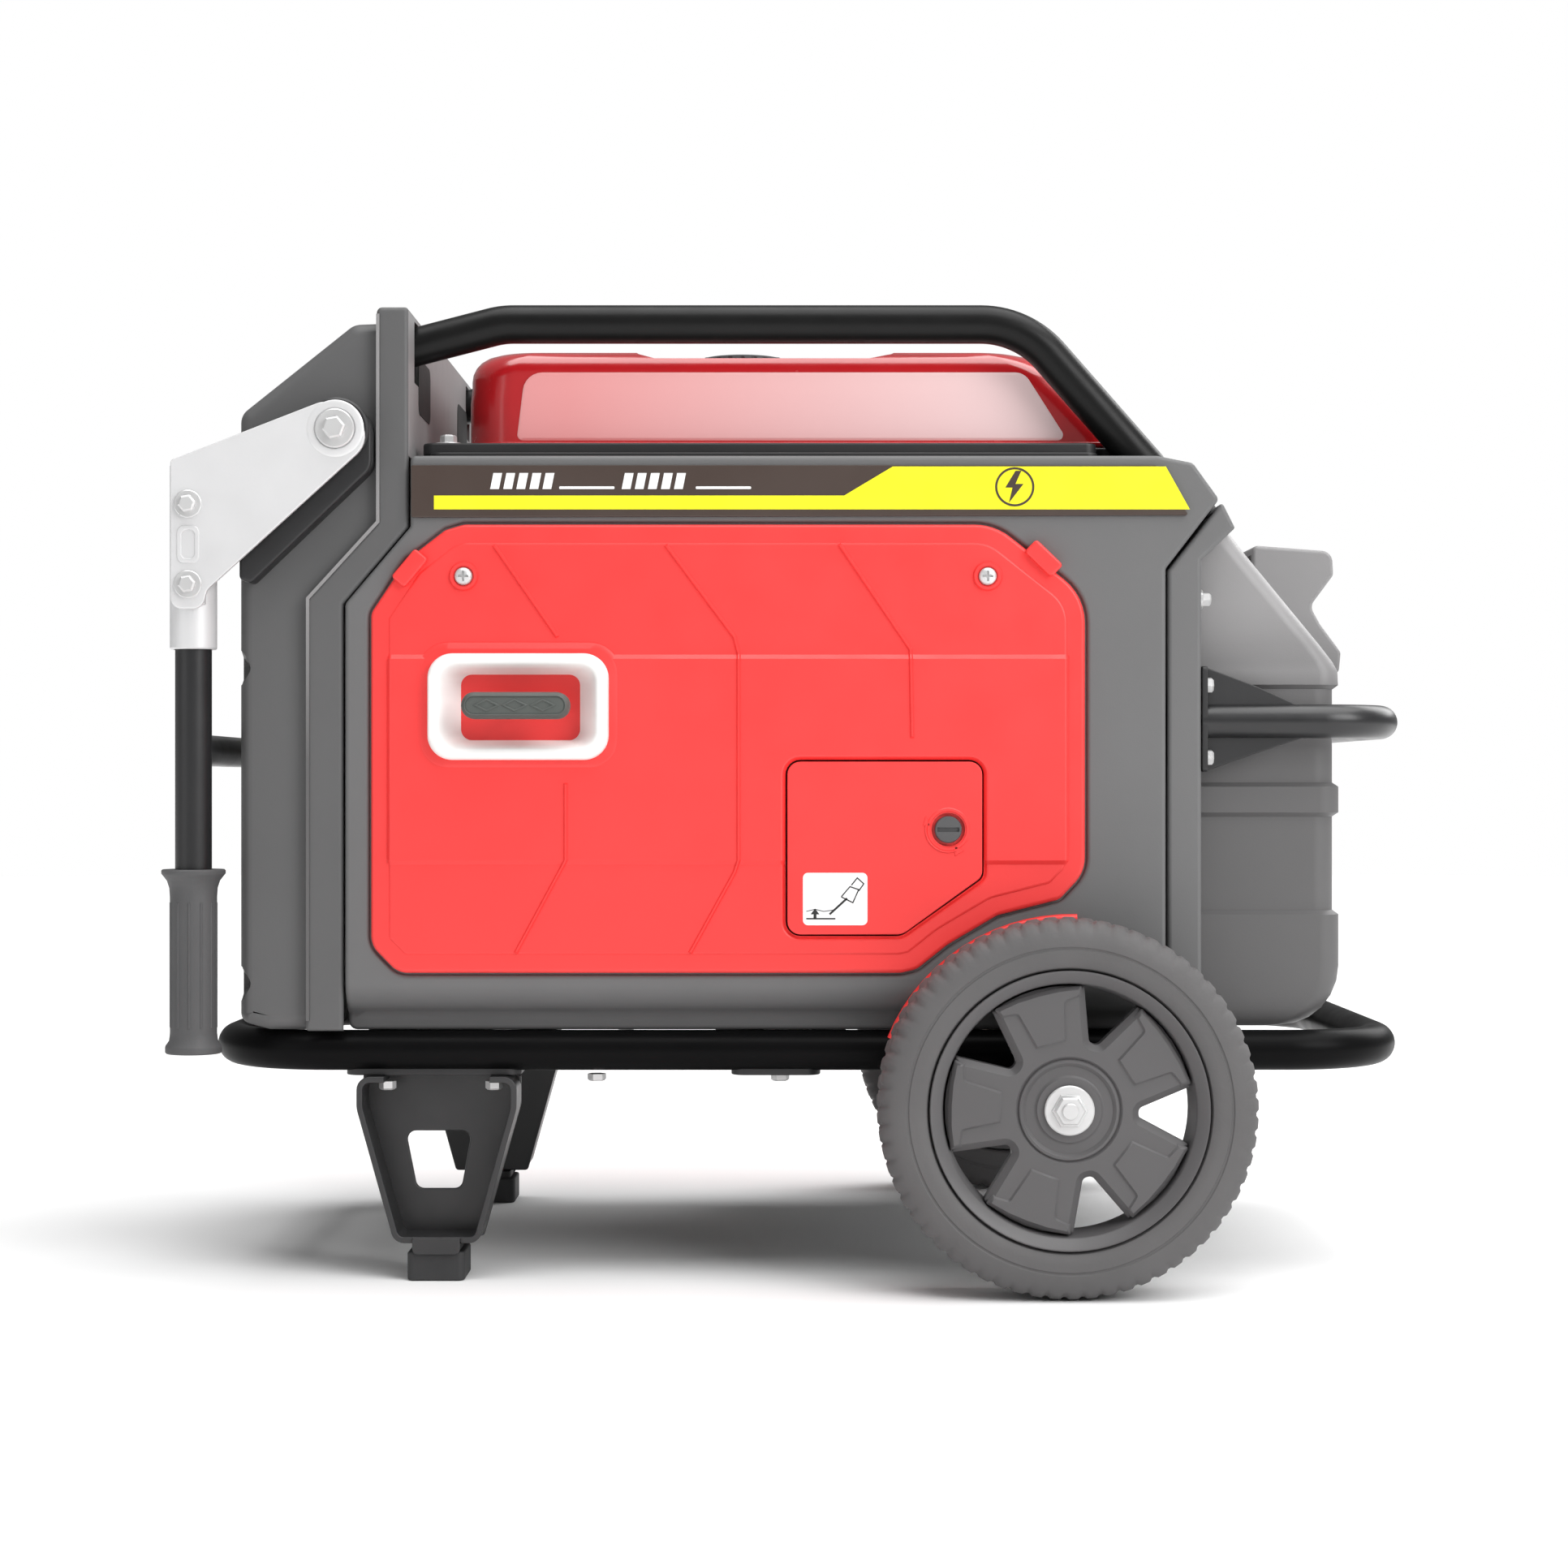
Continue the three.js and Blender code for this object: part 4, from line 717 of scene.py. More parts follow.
def makeLegs():
    # pressed channel, open towards the outside, with its tabs under the base tube
    sheet = [(-301, 140.5), (-301, 119), (-275, 26), (-216, 26), (-190, 119), (-190, 140.5)]
    window = rounded([(-271, 100), (-263, 59.5), (-232, 59.5), (-224.6, 100)], 6)
    plate = layered("legPlate", "side", rounded(sheet, 3), bothEdges(*legSize["plate"], 1.2), [window])
    dressBoth(plate, finishes["legSheet"], "chassis", "front_leg")
    walls = {"A": [(-282, 139), (-298.8, 139, 7), (-298.8, 119.4, 20), (-273.2, 28.2, 7), (-262, 28.2)],
             "B": [(-209, 139), (-192.2, 139, 7), (-192.2, 119.4, 20), (-217.8, 28.2, 7), (-229, 28.2)]}
    for name, line in walls.items():
        wall = ribbon("legWall" + name, smoothLine(line), *legSize["wall"])
        dressBoth(wall, finishes["legSheet"], "chassis")
    sill = boxPiece("legSill", -266, -225, -209.6, -173, 26.1, 30.4, 1.2)
    tongue = layered("legTongue", "side", rounded([(-262, 30), (-262, 18.6, 4), (-229, 18.6, 4),
                                                   (-229, 30)], 1), bothEdges(-209.8, -212.4, 0.7))
    dressBoth(sill, finishes["legSheet"], "chassis")
    dressBoth(tongue, finishes["legSheet"], "chassis")
    for x in legSize["bolts"]:
        makeBolt("legBolt%d" % -x, "z", (x, -196), 137, -1, 6, 6, "chassis", both=True)
    foot = layered("rubberFoot", "plan", rectangle(-266, -226, -210, -165, 5), bothEdges(0.2, 20, 1.6))
    neck = layered("footNeck", "plan", rectangle(-262, -230, -206, -169, 6), bothEdges(19, 25.6, 1))
    dressBoth(foot, finishes["footRubber"], "chassis", "rubber_foot")
    dressBoth(neck, finishes["footRubber"], "chassis")
    print("legs made")


def smoothLine(corners, steps=6):
    # open line with its inner corners rounded by their third number
    out = [tuple(corners[0][:2])]
    for trio in zip(corners, corners[1:], corners[2:]):
        out += cornerArc(*(Vector(c[:2]) for c in trio), trio[1][2], steps)
    return out + [tuple(corners[-1][:2])]


def ribShape(line, half):
    # outline of the given half width round a line in x and z
    left, right = [], []
    for i, (x, z) in enumerate(line):
        way = Vector((0, 0))
        if i > 0:
            way += (Vector(line[i]) - Vector(line[i - 1])).normalized()
        if i < len(line) - 1:
            way += (Vector(line[i + 1]) - Vector(line[i])).normalized()
        way.normalize()
        near = way if i == 0 else (Vector(line[i]) - Vector(line[i - 1])).normalized()
        reach = half / max(0.4, abs(Vector((-way.y, way.x)).dot(Vector((-near.y, near.x)))))
        left.append((x - way.y * reach, z + way.x * reach))
        right.append((x + way.y * reach, z - way.x * reach))
    return left + right[::-1]


def ribbon(name, line, width, y0, y1):
    return layered(name, "side", ribShape(line, width / 2), [(0, y0), (0, y1)] if abs(y1 - y0) < 3 else
                   bothEdges(y1, y0, min(0.8, width / 4)))


# wheels

wheelSize = {"x": 184, "z": 127, "face": -298, "width": 62, "blocks": 64, "spokes": 5,
             "firstSpoke": 33.4}


def makeTyre():
    s = wheelSize
    y0, y1 = s["face"], s["face"] + s["width"]
    half = [(93.4, y0 + 5), (95, y0 + 2), (98, y0 + 0.4), (102, y0), (106.5, y0), (107.2, y0 + 0.7),
            (108.2, y0 + 0.7), (109, y0), (113, y0 + 0.4), (118, y0 + 2), (122, y0 + 4.4),
            (125, y0 + 8), (126.4, y0 + 12), (126.8, y0 + 18), (126.9, y0 + 24)]
    other = [(a, y0 + y1 - d) for a, d in half][::-1]
    # two rows of blocks on the crown, half a pitch apart
    steps = s["blocks"] * 6
    points, faces = [], []
    profile = half + other
    count = len(profile)
    for i in range(steps):
        a = 2 * math.pi * i / steps
        for radius, d in profile:
            near = d < (y0 + y1) / 2
            phase = (i % 6) if near else ((i + 3) % 6)
            drop = 0
            if radius > 119 and phase in (4, 5):
                drop = 1.5 if radius > 121 else 0.5
            if radius > 126.85:
                drop = 2.4
            points.append((s["x"] + (radius - drop) * math.cos(a), d,
                           s["z"] + (radius - drop) * math.sin(a)))
    for i in range(steps):
        j = (i + 1) % steps
        faces += bandFaces(i * count, j * count, count)
    tyre = makePiece("tyre", points, faces, 32)
    dressBoth(tyre, finishes["tyreRubber"], None, "tyre", ("wheel_near", "wheel_far"))


def makeRim():
    s = wheelSize
    f = s["face"]
    at = (s["x"], s["z"])
    bodies = ("wheel_near", "wheel_far")
    # outer lip and barrel of the rim
    barrel = [(93, f + 6), (93, f + 1.6), (92.4, f + 0.9), (91.6, f + 1.0), (85.2, f + 5.4),
              (84.2, f + 8), (83, f + 18), (82, f + 26), (82, f + 34), (84, f + 42), (88, f + 54),
              (88, f + 58), (92, f + 58), (93, f + 56)]
    rim = turned("rimBarrel", barrel, "y", at, 96, closed=True)
    dressBoth(rim, finishes["rimPlastic"], None, "rim", bodies)
    # star plate: five broad spokes with bevelled edges, meeting in a flat middle
    star = []
    spokeAngles = [s["firstSpoke"] + 360 / s["spokes"] * k for k in range(s["spokes"])]
    for m in spokeAngles:
        for r, turn, own in ((46.6, -32.2, 4), (82.4, -22.6, 1.2), (82.4, -15, 0), (82.4, -7.5, 0),
                             (82.4, 0, 0), (82.4, 7.5, 0), (82.4, 15, 0), (82.4, 22.6, 1.2),
                             (46.6, 32.2, 4)):
            star.append(onCircle(at, r, m + turn) + (own,))
    plate = layered("rimStar", "side", rounded(star), [(0, f + 24), (0, f + 12.5), (4.6, f + 8.2)],
                    [circle(*at, 31, 64)])
    dressBoth(plate, finishes["rimPlastic"], None, bodies=bodies)
    for k, degrees in enumerate(spokeAngles):
        m = math.radians(degrees)
        def spot(r, side):
            return (at[0] + r * math.cos(m) - side * math.sin(m),
                    at[1] + r * math.sin(m) + side * math.cos(m))
        edge = ((44, -11), (69, -17.5), (70, -27.5), (77.5, -30), (80, -14), (80.5, 0),
                (80, 14), (77.5, 30), (70, 27.5), (69, 17.5), (44, 11))
        pad = rounded([spot(*place) for place in edge], 1.0, 2)
        raised = layered("rimPad%d" % k, "side", pad, [(0, f + 12), (0, f + 9.4), (2.4, f + 6.6)])
        dressBoth(raised, finishes["rimPlastic"], None, bodies=bodies)
        web = layered("rimWeb%d" % k, "side", [spot(26, -2), spot(83, -2), spot(83, 2), spot(26, 2)],
                      bothEdges(f + 50, f + 23, 0.8))
        dressBoth(web, finishes["rimPlastic"], None, bodies=bodies)
    hub = [(8.4, f + 8), (21.4, f + 8), (22.6, f + 9.4), (23.6, f + 9.8), (29, f + 9.8),
           (30.4, f + 8.6), (31.4, f + 7.9), (33, f + 8.1), (39, f + 18), (39, f + 25),
           (26, f + 54), (8.4, f + 54)]
    boss = turned("rimHub", hub, "y", at, 72, closed=True)
    dressBoth(boss, finishes["rimPlastic"], None, bodies=bodies)


axleSize = {"r": 8, "half": 290, "chamfer": 0.8}


def makeAxle():
    s = wheelSize
    at = (s["x"], s["z"])
    washer = turned("hubWasher", [(0, -290.6), (16.6, -290.6), (16.6, -292.2), (15.8, -292.9),
                                  (0, -292.9)], "y", at, 56)
    hexNut = turned("hubNut", [(0, -292.8), (12.4, -292.8), (11.6, -294.2), (10.4, -294.6),
                               (10.4, -297.2), (9.2, -298.2), (0, -298.2)], "y", at, 6)
    stud = turned("hubStud", [(0, -298), (5.6, -298), (5.6, -299.2), (4.9, -299.8), (0, -299.8)],
                  "y", at, 32)
    nut = joined("wheelNut", [washer, hexNut, stud])
    dressBoth(nut, finishes["zinc"], "chassis", "hub_nut")
    r, end = axleSize["r"], axleSize["half"]
    inner = r - axleSize["chamfer"]
    shaft = turned("axleShaft", [(0, -end), (inner, -end), (r, 1 - end), (r, end - 1), (inner, end),
                                 (0, end)], "y", at, 48)
    dress(shaft, finishes["zinc"], "chassis", "axle")


def makeWheels():
    makeTyre()
    makeRim()
    makeAxle()
    print("wheels made")


# body shells

def loft(name, plane, rings, sharpAngle=38):
    # rings of (outline, depth) with equal point counts, closed at both ends
    points, faces = [], []
    n = len(rings[0][0])
    for outline, depth in rings:
        points += [toSpace(plane, u, v, depth) for u, v in outline]
    for k in range(len(rings) - 1):
        faces += bandFaces(k * n, (k + 1) * n, n)
    for k in (0, len(rings) - 1):
        flat = [[Vector((u, v, 0)) for u, v in rings[k][0]]]
        faces += [tuple(k * n + i for i in tri) for tri in geometry.tessellate_polygon(flat)]
    return makePiece(name, points, faces, sharpAngle)


def block(x0, x1, y0, y1, z0, z1):
    return boxPiece("tool", x0, x1, y0, y1, z0, z1, 0.01, 1)


shellSize = {"face": -215, "seat": -211.8, "inner": -209, "back": -179, "edge": 3.2}
shellCorners = [(-308, 172.8, 6), (258, 172.8, 4), (258, 492, 4), (295, 540, 4),
                (277, 565, 6), (252, 570, 6), (-263, 570, 4), (-263, 521, 3), (-308, 468, 6)]
shellOutline = rounded(shellCorners)
panelCorners = [(-225.9, 522.2, 14), (139.7, 522.2, 40), (201.9, 473.1, 38),
                (201.9, 282.6, 26), (184.3, 263.9, 10),
                (141.6, 253.0, 12), (107.5, 232.9, 40), (86.0, 215.8, 14), (75.1, 213.4, 12),
                (-271.1, 213.4, 16), (-289.6, 232.4, 16), (-289.6, 461.3, 10),
                (-265.5, 497.6, 4), (-238.7, 518.3, 6)]
panelOutline = rounded(panelCorners)


def doorShape(grow):
    return rounded([(-3.1 - grow, 240 - grow, 9 + grow), (76 - grow * 0.3, 240 - grow, 12),
                    (131 + grow, 279.6 - grow * 0.6, 8), (131 + grow, 359 + grow, 9 + grow),
                    (-3.1 - grow, 359 + grow, 9 + grow)])


starterSize = {"x": -187.6, "z": 396.5, "pocket": (50, 26), "ropeAt": (-187.6, 397)}


def starterRing(w, h, r, steps=12):
    x, z = starterSize["x"], starterSize["z"]
    return rectangle(x - w, x + w, z - h, z + h, r, steps)


def pocketShape(grow):
    w, h = starterSize["pocket"]
    return starterRing(w + grow, h + grow, 11, 10)


skirt = {"top": 209, "drop": 27, "cuts": (209, 204, 199, 194, 190, 187, 184.2)}


def tuckUnder(z):
    # the skin rolls in towards its lower edge
    t = min(0.92, max(0, (skirt["top"] - z) / skirt["drop"]))
    return skirt["drop"] * (1 - math.sqrt(1 - t * t))


vents = {"first": -150, "pitch": 26, "width": 12, "count": 6, "z": (300, 420), "corner": 5}


def ventSlots():
    s = vents
    starts = [s["first"] + i * s["pitch"] for i in range(s["count"])]
    return [rectangle(x, x + s["width"], *s["z"], s["corner"]) for x in starts]


redReflectionArc = {"at": (192, 118), "r": 132.6, "y": -214.6, "tube": 3.4}


def makeShells():
    s = shellSize
    for side, holes in (("near", [doorShape(-6), pocketShape(-2)]), ("far", [])):
        far = side == "far"
        if far:
            holes = ventSlots()
        skin = layered("shellSkin", "side", shellOutline,
                       softEdge(s["seat"], s["face"], s["edge"], 4), [shrunk(panelCorners, -1.4)])
        seat = layered("shellSeat", "side", inset(shellOutline, 0.1),
                       [(0, s["inner"]), (0, s["seat"] - 0.1)], holes)
        rim = layered("shellRim", "side", inset(shellOutline, 0.05),
                      [(0, s["back"]), (0, s["seat"] + 0.2)], [shrunk(shellCorners, 3)])
        whole = joined("shell" + side.title(), [skin, seat, rim])
        slopeThrough(whole, skirt["cuts"], tuckUnder, -216, -208)
        if far:
            flipAcross(whole.data)
        dress(whole, finishes["greyShell"], "chassis", "side_shell_" + side)
    # thin red tube along the wheel that stands in for the red panel's reflection on the tyre: painted
    # reflection
    b = redReflectionArc
    spots = [onCircle(b["at"], b["r"], a) for a in range(88, 159, 5)]
    arc = [(x, b["y"], z) for x, z in spots]
    bead = bentTube("redReflectionArc", arc, [0] + [30] * (len(arc) - 2) + [0], b["tube"], sides=16,
                    bendSteps=2)
    dressBoth(bead, finishes["redPanel"], "chassis")
    print("shells made")


panelFace = {"back": -212.1, "rim": -218.5, "field": -221.6, "step": 3, "drop": 2.0,
             "upper": 429.5, "lower": 291}


def fieldDepth(z):
    # the middle band stands proud, with a small step down to each outer band
    s = panelFace
    for out, spread in ((z - s["upper"], 89), (s["lower"] - z, 74)):
        if out > 0:
            return s["drop"] * min(1, out / s["step"]) + 0.3 * max(0, out - s["step"]) / spread
    return 0


panelCreases = [
    [(-204.9, 508.0), (-160.9, 444.4)],
    [(-86.7, 508.0), (-39.3, 444.4), (-36.5, 433.3), (-36.5, 291.1), (-39.3, 282.7), (-70.0, 227.0)],
    [(32.6, 508.6), (81.7, 436.1), (82.8, 375)],
    [(-155.3, 344.1), (-155.3, 291.1), (-189.9, 227.0)]]


def makePanels():
    s = panelFace
    borderInner = shrunk(panelCorners, 11)
    for side in ("near", "far"):
        far = side == "far"
        holes = ventSlots() if far else [doorShape(1.1), pocketShape(0)]
        plate = layered("panelPlate", "side", panelOutline,
                        softEdge(s["back"], s["rim"], 2.8, 4), holes)
        field = layered("panelField", "side", borderInner,
                        [(0, s["rim"] + 1), (0, s["rim"]), (0.5, s["rim"] - 0.8),
                         (2.2, s["field"] + 0.4), (3.2, s["field"])], holes)
        # the far side keeps only the creases clear of its slots
        creases = panelCreases[2:] if far else panelCreases
        raised = [layered("crease", "side", ribShape(line, 1.5),
                          [(0, s["field"] + 0.5), (0, s["field"]), (1.0, s["field"] - 1.5)])
                  for line in creases]
        field = joined("panelField", [field] + raised)
        cuts = (s["upper"] + s["step"], s["upper"], s["lower"], s["lower"] - s["step"])
        slopeThrough(field, cuts, fieldDepth, s["field"] - 1.8, s["rim"] - 0.7)
        markSharp(field, 18)
        whole = joined("panel" + side.title(), [plate, field])
        if far:
            flipAcross(whole.data)
        dress(whole, finishes["redPanel"], "chassis", "side_panel_" + side)
    collar = layered("starterLand", "side", rectangle(-258, -117, 352, 441, 22, 8),
                     [(0, -219), (0.4, -220.4), (4.5, -222.4)], [pocketShape(0)])
    dress(collar, finishes["redPanel"], "chassis")
    for i, (x, z) in enumerate(((-225.6, 486.3), (134.7, 486.3))):
        ring = turned("screwRing%d" % i, [(6.4, -220.2), (7.4, -221.4), (9.2, -221.4), (10.2, -219.4),
                                          (10.2, -218), (6.4, -218)], "y", (x, z), 40, closed=True)
        dressBoth(ring, finishes["redPanel"], "chassis")
        head = turned("screwHead%d" % i, [(0, -219.6), (6, -219.6), (6, -221.4), (5.2, -222.6),
                                          (3, -223.4), (0, -223.6)], "y", (x, z), 40)
        cross = [layered("tool", "side", rectangle(x - a, x + a, z - b, z + b),
                         [(0, -224.5), (0, -222)]) for a, b in ((3.6, 0.7), (0.7, 3.6))]
        dressBoth(carve(head, *cross), finishes["zinc"], "chassis")
    for i, (x, z, turn) in enumerate(((-262.4, 491.8, 50), (173.1, 498.5, -44))):
        c, n = math.cos(math.radians(turn)), math.sin(math.radians(turn))
        corners = [(x + u * c - w * n, z + u * n + w * c)
                   for u, w in ((-12.8, -6), (12.8, -6), (12.8, 6), (-12.8, 6))]
        clip = layered("panelClip%d" % i, "side", rounded(corners, 2.5),
                       softEdge(-214.2, -223.2, 1.6))
        dressBoth(clip, finishes["redPanel"], "chassis")
    print("panels made")


def makeTrim():
    outline = rounded([(-262, 527), (273.5, 528.5), (250.8, 563), (-262, 563)], 1.2, 3)
    strip = layered("trimStrip", "side", outline, softEdge(-215.1, -217.5, 0.5, 2))
    dressBoth(strip, finishes["brownTrim"], "chassis", "trim_strip")
    band = [(-246.2, 532.5), (274.0, 532.5), (257.5, 562), (69.6, 562), (36.1, 542), (-246.2, 542)]
    film = layered("trimBand", "side", band, [(0, -217.45), (0, -217.75)])
    dressBoth(film, finishes["yellowFilm"], "chassis")
    marks = []
    for start, rule in ((-207.5, -160), (-117, -66)):
        for k in range(5):
            x = start + k * 9
            bar = [(x, 546.5), (x + 6, 546.5), (x + 8.2, 557.5), (x + 2.2, 557.5)]
            marks.append(layered("markBar", "side", bar, [(0, -217.4), (0, -217.8)]))
        marks.append(layered("markRule", "side", rectangle(rule, rule + 38, 546.5, 548.3, 0.6),
                             [(0, -217.4), (0, -217.8)]))
    dressBoth(joined("stripMarks", marks), finishes["paper"], "chassis")
    bolt = [(154, 559), (147, 547.5), (152, 547.5), (149.5, 537), (159.5, 550), (154, 550), (158, 559)]
    plug = [layered("emblemBolt", "side", bolt, [(0, -217.6), (0, -218.0)]),
            layered("emblemRing", "side", circle(153.5, 548, 13.5, 48), [(0, -217.6), (0, -218.0)],
                    [circle(153.5, 548, 12, 48)])]
    dressBoth(joined("stripEmblem", plug), finishes["brownTrim"], "chassis")
    print("trim made")


def makeFront():
    collarOutline = rounded([(-335.6, 172.8, 2), (-309.6, 172.8), (-309.6, 468), (-264.6, 521),
                             (-264.6, 673, 3), (-286.8, 673, 4), (-286.8, 524, 3), (-335.6, 471, 4)], 0)
    collar = layered("frontCollar", "side", collarOutline, bothEdges(212, -212, 3.2, 4))
    carve(collar, block(-400, -200, -209, 209, 150, 670))
    bulkhead = boxPiece("collarBulkhead", -267.6, -264.6, -210, 210, 570, 671, 0.6)
    carve(bulkhead, *[block(-275, -260, side * 165 - 14, side * 165 + 14, 625, 668)
                      for side in (-1, 1)])
    dress(collar, finishes["frontShell"], "chassis", "front_collar")
    # the bulkhead's paler grey is painted light
    dress(bulkhead, finishes["paintedLitShell"], "chassis")
    # a flat near black sheet stands in for the shade inside a slot: painted shade
    slot = layered("bulkheadSlot", "front", rectangle(-156, -89, 606, 646, 8),
                   [(0, -264.7), (0, -264.2)])
    dress(slot, finishes["gapShade"], "chassis")
    slotFar = mirrorCopy(slot, "bulkheadSlotFar")
    dress(slotFar, finishes["gapShade"], "chassis")

    outline = rounded([(-383, 178.5, 8), (-363, 172.9, 8), (-322, 172.9), (-322, 471), (-277, 524),
                       (-277, 664), (-304, 663, 14), (-383, 600, 12)], 0)
    housing = layered("frontHousing", "side", outline, bothEdges(205, -205, 10, 5))
    recess = layered("tool", "front", rectangle(-150, 150, 236, 590, 14), [(0, -390), (0, -376.8)])
    hollow = loft("tool", "side", [(inset(outline, 4), -200), (inset(outline, 4), 200)])
    carve(housing, hollow)
    backing = layered("faciaTray", "front", rectangle(-158, 158, 228, 594, 18),
                      [(0, -379.4), (0, -374)])
    whole = carve(joined("frontHousingBody", [housing, backing]), recess)
    notches = []
    for z in (424, 205):
        for side in (-1, 1):
            dent = layered("tool", "side", rounded([(-392, z + 13), (-381, z + 12, 5), (-373.5, z, 7),
                                                    (-381, z - 12, 5), (-392, z - 13)]),
                           [(4, side * 186), (0, side * 194), (0, side * 210)])
            notches.append(dent)
    carve(whole, *notches)
    dress(whole, finishes["frontShell"], "chassis", "front_housing")
    # raised ridge lines down the collar where it meets the housing and the shell, in the grey painted
    # paler above, so their upper lengths show as painted highlights
    ridge = [(-334, 180), (-334, 471.5), (-285.6, 524.5), (-285.6, 668)]
    rail = ribbon("collarRidge", ridge, 2.2, -213.0, -211)
    dressBoth(rail, finishes["paintedLitShell"], "chassis")
    print("front made")


rearSize = {"half": 186, "root": 284, "back": 381, "shoulder": 307, "top": 520, "knee": 430,
            "corner": 16, "wall": 182}


def makeRear():
    s = rearSize
    outline = rounded([(259.6, 172.8), (283, 172.8, 3), (283, 498), (306.5, 520.5, 2),
                       (297.4, 538.6, 2), (259.6, 491)], 0)
    collar = layered("rearCollar", "side", outline, bothEdges(212, -212, 3.2, 4))
    core = layered("tool", "side", [(250, 160), (290, 160), (290, 494), (299, 520), (292, 532),
                                    (250, 476)], [(0, 209), (0, -209)])
    carve(collar, core)
    dress(collar, finishes["greyShell"], "chassis", "rear_collar")
    deck = layered("rearDeck", "side", [(259, 570), (277, 565), (297.4, 538.6), (305.8, 521.7),
                                        (301, 521), (293, 536), (275, 561.6), (259, 567)],
                   bothEdges(178, -178, 0.6))
    dress(deck, finishes["greyShell"], "chassis")

    rings = []
    def ring(z, back, side=0.0):
        y, r = s["half"] - side, s["corner"]
        rings.append((rounded([(s["root"], -y, 0.2), (back, -y, r), (back, y, r),
                               (s["root"], y, 0.2)], 0, 8), z))
    for a in range(0, 91, 15):
        t = math.radians(a)
        ring(216 - 42 * math.cos(t), 345 + 40 * math.sin(t), 8 * (1 - math.sin(t)))
    for z, back in ((252, 385), (255, 381.2), (320.6, 381.2), (323.6, 385), (341.6, 385),
                    (344.6, 381.2), (410, 381.2), (413, 384.8), (423, 384.4), (430, 381)):
        ring(z, back, 385 - back if back > s["back"] else 3.2)
    for k in range(1, 9):
        z = s["knee"] + (s["top"] - s["knee"]) * k / 8
        ring(z, s["back"] + (s["shoulder"] - s["back"]) * k / 8, 0.6 if k < 8 else 2)
    cover = loft("rearCover", "plan", rings, 30)
    w = s["wall"]
    hollow = loft("tool", "plan", [
        (rounded([(270, -w), (back, -w, 14), (back, w, 14), (270, w)]), z)
        for back, z in ((378, 200), (378, 418), (300, 514))])
    pipe = turned("tool", [(0, 300), (27, 300), (27, 420), (0, 420)], "x", (0, 478), 48)
    louvres = [block(375, 392, -120, 120, 262 + i * 11, 268 + i * 11) for i in range(5)]
    carve(cover, hollow, pipe, *louvres)
    dress(cover, finishes["paintedLitShell"], "chassis", "rear_cover")
    for i, z in enumerate((471.8, 408.8, 363.9)):
        makeBolt("coverBolt%d" % i, "x", (-198, z), 283.2, 1, 5, 6, "chassis", both=True, washer=7)

    hoodOutline = rounded([(341, 520, 4), (400, 515.5, 8), (401, 498, 6), (384, 475, 7),
                           (391, 462, 7), (406.5, 441, 5), (405, 425, 4), (372, 425, 4),
                           (341, 466, 4)], 0)
    hood = layered("exhaustHood", "side", hoodOutline, bothEdges(70, -70, 2.6, 4))
    carve(hood, layered("tool", "side", [(330, 514), (394, 510), (394, 499), (374, 470), (374, 400),
                                         (330, 400)], [(0, 64), (0, -64)]),
          block(380, 420, -52, 52, 486, 507))
    dress(hood, finishes["paintedLitShell"], "chassis", "exhaust_hood")
    print("rear made")


# tank

tankSize = {"front": -232, "rear": 243, "half": 145, "leanFrom": 590, "lean": 0.95,
            "corner": 34, "cap": (-37, 0)}


def tankOutline(grow, r, z):
    # the rear end leans forward under the rails
    s = tankSize
    end = s["rear"] - max(0, z - s["leanFrom"]) * s["lean"]
    side = s["half"] + grow
    return rectangle(s["front"] - grow, end + grow, -side, side, r, 12)


